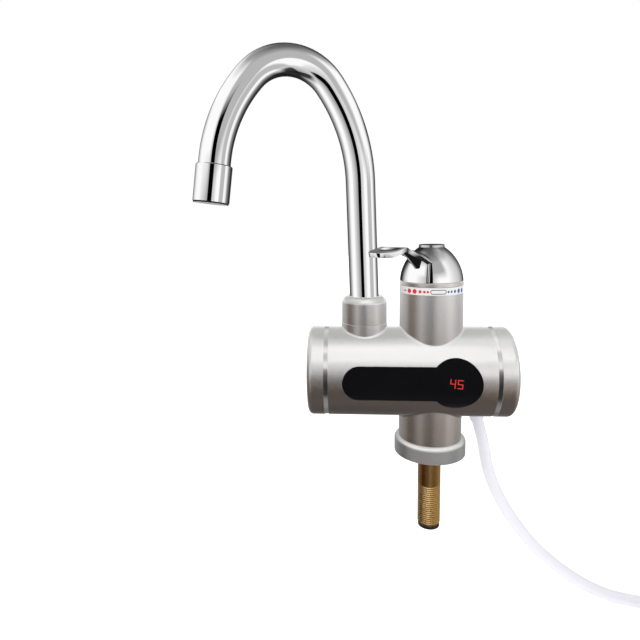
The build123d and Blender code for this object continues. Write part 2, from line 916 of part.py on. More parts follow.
def heater_chamber():
    body = bar(chamber_r, chamber_left, chamber_right)
    body -= bar(chamber_bore, chamber_left - 1, chamber_right - chamber_wall)
    body += disc(nipple_r, chamber_bore + 1, socket_bottom + 1.4, swivel_x)
    body -= disc(nipple_bore_r, chamber_bore - 4, socket_bottom + 9, swivel_x)
    body -= bar(port_r + 0.05, chamber_right - chamber_wall - 1, chamber_right + 1, 0, port_out_z)
    for y, z in cover_screw_places():
        body -= bar(cover_screw_r + 0.05, chamber_left - 1, chamber_left + cover_screw_length, y, z)
    return body


def cover_screw_places():
    """Four places along the middle of the chamber's wall."""
    radius = chamber_r - chamber_wall / 2
    return [(radius * cos(radians(a)), radius * sin(radians(a))) for a in (45, 135, 225, 315)]


def element_legs():
    """The places (y, z) of the heating element's four legs."""
    places = []
    for radius, _, turn in element_loops:
        for side in (-1, 1):
            places.append((side * radius * cos(radians(turn)), side * radius * sin(radians(turn))))
    return places


def chamber_cover():
    spigot = chamber_bore - fit_gap
    body = bar(chamber_r, cover_left, chamber_left)
    body += bar(spigot, chamber_left, chamber_left + cover_spigot)
    body -= Pos(chamber_left + cover_spigot / 2, 0, 0) * Rot(0, 90, 0) * Torus(spigot - 0.8, 0.85)
    for y, z in cover_screw_places():
        body -= bar(cover_screw_r + 0.05, cover_left - 1, chamber_left + 1, y, z)
    for y, z in element_legs():
        body -= bar(element_r + 0.03, cover_left - 1, chamber_left + cover_spigot + 1, y, z)
    return body


def chamber_seal():
    place = Pos(chamber_left + cover_spigot / 2, 0, 0) * Rot(0, 90, 0)
    return place * Torus(chamber_bore - fit_gap - 0.8, 0.8)


def cover_screws():
    screws = []
    for y, z in cover_screw_places():
        screw = bar(cover_screw_r, cover_left, chamber_left + cover_screw_length - 0.5, y, z)
        screw += bar(1.8, cover_left - 1.4, cover_left, y, z)
        screws.append(screw)
    return screws


def heating_element():
    """Two hairpin tubes, one inside the other and turned a quarter."""
    loops = []
    for radius, reach, turn in element_loops:
        bend_x = reach - radius
        path = Wire([
            Line((element_end, radius, 0), (bend_x, radius, 0)),
            ThreePointArc((bend_x, radius, 0), (reach, 0, 0), (bend_x, -radius, 0)),
            Line((bend_x, -radius, 0), (element_end, -radius, 0)),
        ])
        loops.append(Rot(turn, 0, 0) * tube(path, element_r))
    return loops


def thermal_cutout():
    place = (13.0, 7.0)
    body = bar(cutout_r, chamber_right, chamber_right + cutout_height, *place)
    return fillet(body.edges().filter_by(GeomType.CIRCLE).sort_by(Axis.X)[-1], 0.6)


def flow_switch():
    body = disc(switch_r, switch_bottom, switch_top, switch_x)
    body += bar(port_r, chamber_right - chamber_wall, switch_x, 0, port_out_z)
    body += bar(port_r, switch_x, -valve_r + 4, 0, port_in_z)
    low = switch_bottom + switch_end_wall
    body -= disc(switch_bore - 0.8, low, piston_bottom, switch_x)
    body -= disc(switch_bore, piston_bottom - swivel_gap, switch_top - switch_end_wall, switch_x)
    body -= bar(port_r - 1, chamber_right - 9, switch_x, 0, port_out_z)
    return body - bar(port_r - 1, switch_x, 0, 0, port_in_z)


def flow_piston():
    body = disc(piston_r, piston_bottom, piston_top, switch_x)
    body -= disc(1.0, piston_bottom - 1, piston_top + 1, switch_x)
    for turn in range(3):
        groove = disc(0.9, piston_bottom - 1, piston_top + 1, piston_r)
        flute = Pos(switch_x, 0, 0) * Rot(0, 0, 120 * turn + 60) * groove
        body -= flute
    return body


def flow_spring():
    """The piston's return spring, from the piston's top to the switch's lid."""
    room = switch_top - switch_end_wall - piston_top
    climb = room - 2 * spring_wire_r - 0.04
    start = piston_top + spring_wire_r + 0.02
    line = Helix(pitch=climb / spring_turns, height=climb, radius=spring_r)
    coil = sweep(Plane(origin=line @ 0, z_dir=line % 0) * Circle(spring_wire_r), path=line, is_frenet=True)
    return Pos(switch_x, 0, start) * coil


def micro_switch():
    left, right, front, bottom, top = micro_box
    body = block(left, right, front, 0, bottom, top)
    body -= disc(switch_r, bottom - 1, top + 1, switch_x)
    return body - block(left - 1, right + 1, micro_back, 1, bottom - 1, top + 1)


def bypass_pipe():
    end_x = swivel_x + boss_bore_r - fit_gap - 4
    points = [
        (-valve_r + 3, 0, bypass_z),
        (bypass_up_x, 0, bypass_z),
        (bypass_up_x, 0, bypass_top_z),
        (end_x, 0, bypass_top_z),
    ]
    path = FilletPolyline(*points, radius=bypass_bend_r)
    return tube(path, bypass_r - 0.02) - tube(path, bypass_bore_r)


def cable_gland():
    """The strain relief: a tapered boot outside, a flange on the skin and a neck through it."""
    body = along_gland(boot_root_r, 0, boot_length, boot_tip_r)
    body += along_gland(gland_flange_r, -4, gland_flange)
    body -= bar(barrel_r, barrel_left, right_end)
    body += along_gland(gland_neck_r, -clamp_depth, 1)
    return body - along_gland(cord_r + cord_gap, -30, boot_length + 5)


def cable_clamp():
    """The block that clamps the cable, on the gland's neck and shaped to the barrel's wall."""
    body = along_gland(clamp_r, -clamp_depth, clamp_height - clamp_depth)
    body &= bar(barrel_bore, barrel_left, barrel_right)
    return body - along_gland(gland_neck_r + 0.05, -30, 5)


def sheath_end():
    place, away = gland_axis()
    return place - away * sheath_inside, away


def cable_sheath():
    return along_gland(cord_r, -sheath_inside, boot_length)


def mains_wires():
    """The three cores, from the sheath's end face to the terminal block's back."""
    end, away = sheath_end()
    back = board_face + block_box[2]
    height = block_box[4] - 2.5
    wires = []
    for index, side in ((0, -2.4), (2, 0.0), (4, 2.4)):
        start = end + Vector(0, side, 0)
        x = block_screw_x(index)
        points = [start, start - away * 12, (x, 10, height), (x, back, height)]
        wires.append(tube(FilletPolyline(*points, radius=3.0), mains_wire_r))
    return wires


def heater_wires():
    """Two cores along the barrel's back to the element, and the link between its loops."""
    back = board_face + block_box[2]
    low = block_box[3] + 3.0
    drop = -7.0
    far = heater_wire_radius
    aside = sqrt(far**2 - drop**2)
    outer_leg = element_loops[0][0]
    turn_x = cover_left - 3.6
    live = [
        (block_screw_x(1), back, low),
        (block_screw_x(1), 12, low),
        (8, far, 0),
        (turn_x, far, 0),
        (turn_x, outer_leg + element_r + 0.1, 0),
    ]
    neutral = [
        (block_screw_x(3), back, low),
        (block_screw_x(3), 4, low),
        (14, aside, drop),
        (turn_x, aside, drop),
        (turn_x, element_r + 0.1, drop),
    ]
    wires = [tube(FilletPolyline(*points, radius=4.0), heater_wire_r) for points in (live, neutral)]
    legs = (Vector(turn_x, -outer_leg, 0), Vector(turn_x, 0, element_loops[1][0]))
    reach = (legs[1] - legs[0]).normalized()
    start = legs[0] + reach * (element_r + 0.1)
    link = Plane(origin=start, z_dir=reach) * Circle(1.0)
    wires.append(extrude(link, amount=(legs[1] - legs[0]).length - 2 * element_r - 0.2))
    return wires


def coil_spot(turns):
    """The coil's centre line after some turns, clockwise from its start, seen from above."""
    climb_start = coil_inward
    climb_end = climb_start + coil_climb
    end = climb_end + coil_outward

    def drawn_in(t):
        eased = t**2 / (2 * coil_ease) if t < coil_ease else t - coil_ease / 2
        return coil_pitch * eased

    inner = coil_r - drawn_in(coil_inward)
    height = 0.0
    if turns <= climb_start:
        radius = coil_r - drawn_in(turns)
    elif turns < climb_end:
        u = (turns - climb_start) / coil_climb
        radius = inner - coil_pitch * coil_climb * u * (1 - u)
        height = coil_lift * u * u * (3 - 2 * u)
    else:
        radius = inner + drawn_in(coil_outward) - drawn_in(end - turns)
        height = coil_lift
    angle = pi / 2 - 2 * pi * turns
    foot = floor_z + cord_r + tie_thickness + tie_gap
    return Vector(coil_x + radius * cos(angle), coil_y + radius * sin(angle), foot + height)


def coil_heading(turns):
    step = 1e-4
    return (coil_spot(turns + step) - coil_spot(turns - step)).normalized()


def two_arcs(start, start_way, end, end_way):
    """Two arcs that join two places and keep their headings."""
    gap = end - start
    both = start_way + end_way
    a = both.dot(both) - 4
    b = -2 * gap.dot(both)
    c = gap.dot(gap)
    reach = (-b - sqrt(b * b - 4 * a * c)) / (2 * a)
    if reach < 0:
        reach = (-b + sqrt(b * b - 4 * a * c)) / (2 * a)
    first_corner = start + start_way * reach
    last_corner = end - end_way * reach
    middle = (first_corner + last_corner) * 0.5
    middle_way = (last_corner - first_corner).normalized()
    first = TangentArc(start, middle, tangent=start_way)
    second = TangentArc(middle, end, tangent=middle_way)
    return [first, second]


def coil_path():
    total = coil_inward + coil_climb + coil_outward
    quarters = round(total * 4)
    lead = 2 * cord_r
    ahead = Vector(1, 0, 0)
    start = coil_spot(0)
    end = coil_spot(total)
    edges = [Line(start - ahead * lead, start)]
    for index in range(quarters):
        t0 = index / 4
        t1 = t0 + 1 / 4
        way0 = ahead if index == 0 else coil_heading(t0)
        way1 = ahead if index == quarters - 1 else coil_heading(t1)
        edges += two_arcs(coil_spot(t0), way0, coil_spot(t1), way1)
    edges.append(Line(end, end + ahead * lead))
    return Wire(edges)


def print_coil_gap():
    """The least gap between places of the coil that are over a third of a turn apart."""
    total = coil_inward + coil_climb + coil_outward
    steps = 360
    spots = [(total * k / steps, coil_spot(total * k / steps)) for k in range(steps + 1)]
    least = min(
        (a - b).length
        for i, (t0, a) in enumerate(spots)
        for t1, b in spots[i + 1:]
        if t1 - t0 > 0.33
    )
    print("coil: least gap to itself", round(least - 2 * cord_r, 2), "mm, turns", total)


def cord_piece(name, points):
    radii = corner_radii(points)
    print(name, "radii", [round(r, 1) for r in radii])
    path = FilletPolyline(*points, radius=radii)
    piece = tube(path, cord_r)
    share = piece.volume / (pi * cord_r**2 * path.length)
    print(name, "length", round(path.length, 1), "volume over section times length", round(share, 4))
    return piece, path.length


def cord():
    """The cord: the free stretch, the tied coil and the short tail to the plug."""
    free, free_length = cord_piece("power_cord", cord_route)
    tail, tail_length = cord_piece("cord_tail", tail_route)
    path = coil_path()
    coil = tube(path, cord_r)
    share = coil.volume / (pi * cord_r**2 * path.length)
    print("cord_coil length", round(path.length, 1), "volume over section times length", round(share, 4))
    print_coil_gap()
    print("cord in all", round(free_length + path.length + tail_length, 0), "mm")
    lay("power_cord", free)
    lay("cord_coil", coil)
    lay("cord_tail", tail)


def cable_tie():
    """A band round the bundle where two turns lie below and one above."""
    spots = [coil_spot(t) for t in (0.25, 1.25, 2.25)]
    rings = []
    for gap in (tie_gap + tie_thickness, tie_gap):
        circles = [Pos(s.X, s.Z) * Circle(cord_r + gap) for s in spots]
        edges = [edge for circle in circles for edge in circle.edges()]
        rings.append(make_hull(edges))
    front = Plane(origin=(0, coil_y + tie_width / 2, 0), x_dir=(1, 0, 0), z_dir=(0, -1, 0))
    band_outer = extrude(front * rings[0], amount=tie_width)
    top = max(s.Z for s in spots) + cord_r + tie_gap
    middle = spots[2].X
    head = block(middle - tie_head / 2, middle + tie_head / 2, coil_y - 3.4, coil_y + 3.4, top, top + 3)
    return (band_outer + head) - extrude(front * rings[1], amount=tie_width)


def at_plug(shape):
    """Turn a shape drawn along +X from the plug's boot to lie at the tail's end."""
    before, end = Vector(*tail_route[-2]), Vector(*tail_route[-1])
    way = end - before
    return Pos(end.X, end.Y, end.Z) * Rot(0, 0, degrees(atan2(way.Y, way.X))) * shape


def plug_pin_places():
    face = plug_boot + plug_body
    return [(face, side * pin_spacing / 2) for side in (-1, 1)]


def power_plug():
    """A plain round plug body: boot, shoulder and face, turned about its own axis."""
    face = plug_boot + plug_body
    edges = [
        Line((0, 0, 0), (cord_r + 0.7, 0, 0)),
        Line((cord_r + 0.7, 0, 0), (plug_boot_r, 0, plug_boot)),
        Line((plug_boot_r, 0, plug_boot), (plug_neck_r, 0, plug_boot)),
        ThreePointArc(
            (plug_neck_r, 0, plug_boot),
            ((plug_neck_r + plug_face_r) / 2 + 1.5, 0, plug_boot + plug_body * 0.42),
            (plug_face_r, 0, face - 8),
        ),
        Line((plug_face_r, 0, face - 8), (plug_face_r, 0, face)),
        Line((plug_face_r, 0, face), (0, 0, face)),
        Line((0, 0, face), (0, 0, 0)),
    ]
    body = Rot(0, 90, 0) * turned(*edges)
    for x, y in plug_pin_places():
        body -= bar(pin_r, x - pin_root, x + 1, y)
    return at_plug(body)


def plug_pins():
    pins = []
    for x, y in plug_pin_places():
        pin = bar(pin_r, x - pin_root, x + pin_length, y)
        tip = pin.edges().filter_by(GeomType.CIRCLE).sort_by(Axis.X)[-1]
        pins.append(at_plug(chamfer(tip, 0.8)))
    return pins


def build_housing():
    put("housing", housing())
    put("left_end_cap", end_cap(-1))
    put("right_end_cap", end_cap(1))
    put("left_trim_ring", trim_ring(barrel_left, left_ring_edge))
    put("right_trim_ring", trim_ring(barrel_right, right_ring_edge))
    put("cap_seals", *cap_seals())
    put("base_ring", base_ring())
    put("base_gasket", ring(gasket_outer_r, gasket_inner_r, deck_z, deck_z + gasket_depth))
    put("inlet_shank", inlet_shank())
    shank_end = deck_z - shank_below_deck
    put("inlet_seal", ring(end_seal_r, end_seal_bore_r, shank_end - end_seal_height, shank_end))


def build_display():
    put("display_window", display_window())
    put("temperature_digits", digits())
    put("display_module", display_module())
    put("control_board", control_board())
    put("board_posts", *board_posts())
    put("power_relay", relay())
    put("terminal_block", terminal_block())
    put("terminal_screws", *terminal_screws())
    put("mains_wires", *mains_wires())
    put("heater_wires", *heater_wires())


def build_valve():
    put("valve_body", valve_body())
    put("index_ring", index_ring())
    put("bezel_ring", bezel_ring())
    put("cartridge_body", cartridge_body())
    put("cartridge_nut", cartridge_nut())
    put("fixed_disc", fixed_disc())
    turn = Rot(0, 0, lever_azimuth)
    put("moving_disc", turn * moving_disc())
    put("cartridge_stem", turn * cartridge_stem())
    put("handle", handle())
    put("handle_screw", turn * handle_screw())
    put("handle_cap", turn * handle_cap())


def build_spout():
    put("spout_collar", Pos(swivel_x, 0, 0) * spout_collar())
    put("spout_socket", Pos(swivel_x, 0, 0) * spout_socket())
    put("slip_ring", Pos(swivel_x, 0, 0) * slip_ring())
    put("spout_foot", at_spout(spout_foot()))
    put("spout_seals", *[at_spout(seal) for seal in spout_seals()])
    put("spout_tube", at_spout(spout_tube()))
    put("outlet_sleeve", at_spout(outlet_sleeve()))
    put("aerator_insert", at_spout(aerator_insert()))
    put("aerator_washer", at_spout(aerator_washer()))
    nose = spout_path()[-1] @ 1
    print("nose end at", round(nose.X, 1), "out and", round(nose.Z, 1), "up from the barrel's axis")


def build_heater():
    put("heater_chamber", heater_chamber())
    put("chamber_cover", chamber_cover())
    put("chamber_seal", chamber_seal())
    put("cover_screws", *cover_screws())
    put("heating_element", *heating_element())
    put("thermal_cutout", thermal_cutout())
    put("flow_switch", flow_switch())
    put("flow_piston", flow_piston())
    put("flow_spring", flow_spring())
    put("micro_switch", micro_switch())
    put("bypass_pipe", bypass_pipe())


def build_cable():
    put("cable_gland", cable_gland())
    put("cable_clamp", cable_clamp())
    put("cable_sheath", cable_sheath())
    cord()
    lay("cable_tie", cable_tie())
    lay("power_plug", power_plug())
    lay("plug_pins", *plug_pins())


os.makedirs("parts", exist_ok=True)
build_housing()
build_display()
build_valve()
build_spout()
build_heater()
build_cable()
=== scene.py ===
import bmesh
import bpy
import json
from math import cos, pi, radians, sin, sqrt
from mathutils import Matrix, Vector

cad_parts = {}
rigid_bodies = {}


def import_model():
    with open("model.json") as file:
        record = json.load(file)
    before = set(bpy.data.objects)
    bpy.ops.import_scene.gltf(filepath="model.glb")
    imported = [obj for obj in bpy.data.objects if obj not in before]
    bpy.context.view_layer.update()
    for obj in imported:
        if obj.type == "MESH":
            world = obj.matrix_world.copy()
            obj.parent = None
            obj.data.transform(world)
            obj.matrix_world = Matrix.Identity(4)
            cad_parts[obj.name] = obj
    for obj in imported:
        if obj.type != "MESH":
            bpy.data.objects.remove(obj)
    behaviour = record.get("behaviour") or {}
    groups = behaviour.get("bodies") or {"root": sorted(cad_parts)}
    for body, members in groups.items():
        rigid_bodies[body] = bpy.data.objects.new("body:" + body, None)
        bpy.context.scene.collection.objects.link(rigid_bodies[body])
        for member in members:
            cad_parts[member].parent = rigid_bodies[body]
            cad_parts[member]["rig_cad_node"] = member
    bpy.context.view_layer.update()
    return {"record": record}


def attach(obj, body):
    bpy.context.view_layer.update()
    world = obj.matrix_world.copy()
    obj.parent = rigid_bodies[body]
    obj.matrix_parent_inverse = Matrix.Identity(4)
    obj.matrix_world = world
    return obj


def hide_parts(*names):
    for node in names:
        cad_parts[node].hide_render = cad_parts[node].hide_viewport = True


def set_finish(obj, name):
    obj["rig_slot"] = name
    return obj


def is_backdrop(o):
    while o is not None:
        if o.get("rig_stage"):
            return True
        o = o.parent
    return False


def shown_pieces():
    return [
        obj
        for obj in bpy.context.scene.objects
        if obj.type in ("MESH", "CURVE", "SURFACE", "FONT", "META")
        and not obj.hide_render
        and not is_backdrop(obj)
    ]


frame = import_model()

MM = 0.001
PHOTO_PX = 640.0
WHITE = (1, 1, 1, 1)

# On new pieces: points closer than WELD are one, edges gentler than SMOOTH_ANGLE shade as smooth, and
# edges sharper than SHARP_ANGLE are rounded
WELD = 0.002 * MM
SMOOTH_ANGLE = radians(32)
SHARP_ANGLE = radians(50)

# Camera, fitted to the barrel, the neck, the foot and the gooseneck
FOCAL_PX = 510.6
CENTRE_X_PX = 310.7
CENTRE_Y_PX = 277.8
CAMERA_PLACE = Vector((-0.0541, -0.3567, 0.1638))
CAMERA_YAW = radians(-4.75)
CAMERA_PITCH = radians(-6.30)
CAMERA_ROLL = radians(-0.83)
SENSOR = 36.0

# Cord, in metres: control points that take the curve along the route of its solids
CORD_R = 4.25 * MM
CORD_ROUTE = (
    (0.03785, 0.0200, 0.01538),
    (0.04253, 0.0200, 0.00008),
    (0.0465, 0.0200, -0.0270),
    (0.0618, 0.0200, -0.0590),
    (0.0885, 0.0200, -0.0925),
    (0.1270, 0.0200, -0.1195),
    (0.1600, 0.0160, -0.1247),
    (0.1975, 0.0160, -0.1247),
)
CORD_TAIL = (
    (0.2145, 0.0160, -0.1157),
    (0.2290, 0.0160, -0.1157),
    (0.2436, 0.0126, -0.1136),
    (0.2566, 0.0063, -0.1115),
    (0.2680, -0.0026, -0.1115),
)
FLOOR_Z = -130.0 * MM
COIL_X = 206.0 * MM
COIL_Y = -36.0 * MM
COIL_R = 52.0 * MM
COIL_PITCH = 10.3 * MM
COIL_LIFT = 9.0 * MM
COIL_FOOT = -124.7 * MM
COIL_EASE = 0.25
COIL_INWARD = 1.25
COIL_CLIMB = 0.5
COIL_OUTWARD = 1.25
COIL_POINTS = 24

# Heights and radii that the new pieces share with the solids, in the deck's frame
BARREL_Z = 58.2 * MM
SHANK_R = 8.0 * MM
SHANK_BORE_R = 5.5 * MM
SHANK_NECK_R = 7.2 * MM
SHANK_COLLAR_R = 13.0 * MM
SHANK_COLLAR = (8.2 * MM, 13.0 * MM)
SHANK_TOP = 25.0 * MM
SHANK_FOOT = -55.0 * MM
SHANK_EDGE = 0.3 * MM
THREAD_TOP = -24.5 * MM
THREAD_FOOT = SHANK_FOOT + 0.8 * MM
THREAD_PITCH = 1.5 * MM
THREAD_DEPTH = 0.85 * MM
THREAD_SUNK = 0.15 * MM
THREAD_ROOT_HALF = 0.62 * MM
THREAD_CREST_HALF = 0.11 * MM
THREAD_RUN_OUT = 0.6 * MM
THREAD_STEPS = 40
LABEL_R = 21.54 * MM
LABEL_Z = BARREL_Z + 58.5 * MM

# Marks on the label ring: bearings from the front in degrees, a spot's turn from the middle and its
# size, and the widths, heights and line of the end mark and the frame, in millimetres
MARK_HEIGHT = 0.05 * MM
MARK_RIM = 0.9
LABEL_MIDDLE = 4.2
LABEL_SPOTS = ((18.3, 1.6), (24.5, 1.7), (32.3, 2.1), (42.6, 3.1), (54.2, 3.1))
COLD_SPOT_WIDTH = 0.85
HOT_END_TURN = -61.4
HOT_END_MARK = (3.0, 0.7)
LABEL_FRAME = (10.6, 3.0)
LABEL_FRAME_LINE = 0.38

# Handle, lengths in millimetres: the way the lever points, the dome's outline, its fins, the lever's
# sections. A section is its reach from the dome's axis, half its width, and the heights of its edge
# and its middle. The dish is its reach, its half length and width, and its depth
LEVER_TURN = radians(235.0)
DOME_FOOT = (21.4, 64.3)
DOME_CREST = (8.42, 87.0)
DOME_BULGE = 3.08
DOME_BORE_R = 6.0
DOME_WALL = 3.4
FIN_TURN = radians(22.0)
FIN_TOP = 78.5
FIN_PROUD = 1.0
FIN_DEPTH = 2.0
FIN_HALF = 0.65
FIN_EDGE = 0.3
LEVER_SECTIONS = (
    (13.0, 9.0, 76.0, 82.5),
    (18.0, 8.2, 78.0, 84.2),
    (22.0, 7.0, 80.3, 85.3),
    (30.0, 5.5, 84.0, 86.5),
    (40.0, 5.6, 87.4, 88.2),
    (50.0, 8.2, 89.2, 89.1),
    (58.0, 9.5, 88.2, 88.1),
    (69.0, 9.3, 86.3, 86.5),
)
LEVER_THICKNESS = 2.7
LEVER_EDGE = 0.45
LEVER_CORNER = 4.5
LEVER_END_R = 25.0
LEVER_END_START = 50.0
DISH = (54.5, 7.5, 6.0, 0.75)
RIB_OUTLINE = (
    (14.0, 73.4), (22.5, 73.6), (27.0, 77.0), (33.0, 81.2), (38.0, 83.6), (44.0, 86.0), (40.0, 86.6),
    (30.0, 84.8), (14.0, 81.0),
)
RIB_HALF = 1.2
RIB_EDGE = 0.8

# The aerator's pale face at the end of the nose, in millimetres: its edge, its grooves, and its
# height over the washer and depth behind it
AERATOR_R = 10.2
AERATOR_BEVEL = 0.2
AERATOR_PROUD = 0.05
AERATOR_DEPTH = 0.6
AERATOR_RINGS = (8.2, 6.4, 4.6, 2.8)
GROOVE_HALF = 0.35
GROOVE_FLOOR_HALF = 0.2
GROOVE_DEPTH = 0.1

# Grain of the finishes: the broad part's share of the fineness, the stretch of its range that
# changes the roughness, its depth, and fine lines turned on the necks' axis and on the barrel's
BROAD_GRAIN = 0.06
GRAIN_SPAN = (0.3, 0.7)
GRAIN_DEPTH = 0.02 * MM
NECK_LINES = (30.0, 30.0, 2500.0)
BARREL_LINES = (2500.0, 30.0, 30.0)

# The floor, a hair under the coil
FLOOR_SIZE = 8.0
FLOOR_DROP = 0.2 * MM
FLOOR_GLOW = 0.45

# Pieces that mirror a studio of their own, the middle of the studio shells, and where a shell's
# sides and its back take over. A shade is an angle in degrees and a grey level or a colour. Bearings
# start at the front and grow to the right, and rises are negative below level
DOME_PIECES = ("handle_dome", "handle_cap")
TRIM_RINGS = ("left_trim_ring", "right_trim_ring")
LIT_ALONE = DOME_PIECES + TRIM_RINGS + ("handle_lever", "lever_rib", "base_ring", "threaded_shank")
STUDIO_CENTRE = (-0.046, 0.0, 0.16)
BESIDE = ((-32, 1), (-20, 0), (46, 0), (62, 1))
BEHIND = ((-150, 1), (-112, 0), (112, 0), (150, 1))
EVEN = ((-180, 1.0), (180, 1.0))
NOWHERE = ((-90, 0), (90, 0))


def link(obj):
    bpy.context.scene.collection.objects.link(obj)
    return obj


def camera_turn():
    """The camera's axes as a rotation: right, up and backwards."""
    ahead = Vector((
        sin(CAMERA_YAW) * cos(CAMERA_PITCH),
        cos(CAMERA_YAW) * cos(CAMERA_PITCH),
        sin(CAMERA_PITCH),
    ))
    level = Vector((cos(CAMERA_YAW), -sin(CAMERA_YAW), 0))
    upright = level.cross(ahead)
    right = level * cos(CAMERA_ROLL) + upright * sin(CAMERA_ROLL)
    up = upright * cos(CAMERA_ROLL) - level * sin(CAMERA_ROLL)
    return Matrix((right, up, -ahead)).transposed()


def add_camera():
    data = bpy.data.cameras.new("view")
    data.sensor_width = SENSOR
    data.lens = FOCAL_PX / PHOTO_PX * SENSOR
    data.shift_x = (PHOTO_PX / 2 - CENTRE_X_PX) / PHOTO_PX
    data.shift_y = -(PHOTO_PX / 2 - CENTRE_Y_PX) / PHOTO_PX
    data.clip_start = 0.01
    camera = link(bpy.data.objects.new("view", data))
    camera.matrix_world = Matrix.Translation(CAMERA_PLACE) @ camera_turn().to_4x4()
    bpy.context.scene.camera = camera


def coil_spot(turns):
    """A control point of the coil after some turns, clockwise from its start. It stands a little
    outside the coil, since the curve cuts its corners."""
    climb_end = COIL_INWARD + COIL_CLIMB
    end = climb_end + COIL_OUTWARD

    def drawn_in(t):
        eased = t * t / (2 * COIL_EASE) if t < COIL_EASE else t - COIL_EASE / 2
        return COIL_PITCH * eased

    inner = COIL_R - drawn_in(COIL_INWARD)
    height = 0.0
    if turns <= COIL_INWARD:
        radius = COIL_R - drawn_in(turns)
    elif turns < climb_end:
        u = (turns - COIL_INWARD) / COIL_CLIMB
        radius = inner - COIL_PITCH * COIL_CLIMB * u * (1 - u)
        height = COIL_LIFT * u * u * (3 - 2 * u)
    else:
        radius = inner + drawn_in(COIL_OUTWARD) - drawn_in(end - turns)
        height = COIL_LIFT
    radius /= 0.75 + 0.25 * cos(2 * pi / COIL_POINTS)
    angle = pi / 2 - 2 * pi * turns
    return (COIL_X + radius * cos(angle), COIL_Y + radius * sin(angle), COIL_FOOT + height)


def coil_points():
    count = round((COIL_INWARD + COIL_CLIMB + COIL_OUTWARD) * COIL_POINTS)
    return [coil_spot((k + 0.5) / COIL_POINTS) for k in range(count)]


def add_cord(material):
    points = list(CORD_ROUTE) + coil_points() + list(CORD_TAIL)
    data = bpy.data.curves.new("mains_cord", "CURVE")
    data.dimensions = "3D"
    spline = data.splines.new("NURBS")
    spline.points.add(len(points) - 1)
    for target, point in zip(spline.points, points):
        target.co = (*point, 1)
    spline.order_u = 3
    spline.use_endpoint_u = True
    spline.resolution_u = 8
    data.bevel_depth = CORD_R
    data.bevel_resolution = 6
    data.use_fill_caps = True
    data.materials.append(material)
    cord = link(bpy.data.objects.new("mains_cord", data))
    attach(cord, "body")
    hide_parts("power_cord", "cord_coil", "cord_tail")
    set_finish(cord, "cord_white")
    return cord


def deselect():
    bpy.ops.object.select_all(action="DESELECT")


def finished(obj, name, body, slot, finish_of, replaced=()):
    """Names a new piece, smooths its gentle edges, and says what it rides on and is made of."""
    obj.name = name
    obj.data.name = name
    obj.data.materials.clear()
    obj.data.materials.append(finish_of[slot])
    deselect()
    obj.select_set(True)
    bpy.context.view_layer.objects.active = obj
    bpy.ops.object.transform_apply(location=True, rotation=True, scale=True)
    bpy.ops.object.shade_smooth_by_angle(angle=SMOOTH_ANGLE)
    obj.select_set(False)
    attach(obj, body)
    if replaced:
        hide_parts(*replaced)
    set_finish(obj, slot)
    return obj


def lathe(outline, steps):
    """A closed outline of radii and heights, turned about the upright axis."""
    deselect()
    bpy.ops.mesh.primitive_circle_add(vertices=len(outline), radius=1.0)
    obj = bpy.context.object
    for vertex, (radius, height) in zip(obj.data.vertices, outline):
        vertex.co = (radius, 0, height)
    bpy.ops.object.mode_set(mode="EDIT")
    bpy.ops.mesh.select_all(action="SELECT")
    bpy.ops.mesh.spin(steps=steps, angle=2 * pi, center=(0, 0, 0), axis=(0, 0, 1))
    bpy.ops.mesh.select_all(action="SELECT")
    bpy.ops.mesh.remove_doubles(threshold=WELD)
    bpy.ops.mesh.normals_make_consistent(inside=False)
    bpy.ops.object.mode_set(mode="OBJECT")
    return obj


def thread_ridge():
    """One V-shaped ridge wound up the shank, its ends closed."""
    root = SHANK_R - THREAD_DEPTH - THREAD_SUNK
    section = (
        (root, THREAD_FOOT - THREAD_ROOT_HALF), (root, THREAD_FOOT + THREAD_ROOT_HALF),
        (SHANK_R, THREAD_FOOT + THREAD_CREST_HALF), (SHANK_R, THREAD_FOOT - THREAD_CREST_HALF),
    )
    deselect()
    bpy.ops.mesh.primitive_circle_add(vertices=len(section), radius=1.0)
    obj = bpy.context.object
    for vertex, (radius, height) in zip(obj.data.vertices, section):
        vertex.co = (radius, 0, height)
    screw = obj.modifiers.new("wound", "SCREW")
    screw.angle = 2 * pi
    screw.screw_offset = THREAD_PITCH
    screw.iterations = int((THREAD_TOP - THREAD_FOOT) / THREAD_PITCH)
    screw.steps = THREAD_STEPS
    screw.render_steps = THREAD_STEPS
    bpy.ops.object.modifier_apply(modifier=screw.name)
    bpy.ops.object.mode_set(mode="EDIT")
    bpy.ops.mesh.select_all(action="SELECT")
    bpy.ops.mesh.fill_holes(sides=len(section))
    bpy.ops.mesh.select_all(action="SELECT")
    bpy.ops.mesh.normals_make_consistent(inside=False)
    bpy.ops.object.mode_set(mode="OBJECT")
    return obj


def join(parts):
    deselect()
    for part in parts:
        part.select_set(True)
    bpy.context.view_layer.objects.active = parts[0]
    bpy.ops.object.join()
    return parts[0]


def add_threaded_shank(finish_of):
    """The inlet shank: a seat inside the foot, plain under the deck, and threaded further down."""
    core_r = SHANK_R - THREAD_DEPTH
    seat, seat_top = SHANK_COLLAR
    tube = lathe([
        (SHANK_BORE_R, SHANK_FOOT), (core_r - SHANK_EDGE, SHANK_FOOT), (core_r, SHANK_FOOT + SHANK_EDGE),
        (core_r, THREAD_TOP - THREAD_RUN_OUT), (SHANK_R, THREAD_TOP), (SHANK_R, 0), (SHANK_NECK_R, 0),
        (SHANK_NECK_R, seat), (SHANK_COLLAR_R, seat), (SHANK_COLLAR_R, seat_top),
        (SHANK_NECK_R, seat_top), (SHANK_NECK_R, SHANK_TOP), (SHANK_BORE_R, SHANK_TOP),
    ], steps=64)
    shank = join([tube, thread_ridge()])
    finished(shank, "threaded_shank", "body", "brass", finish_of, ["inlet_shank"])


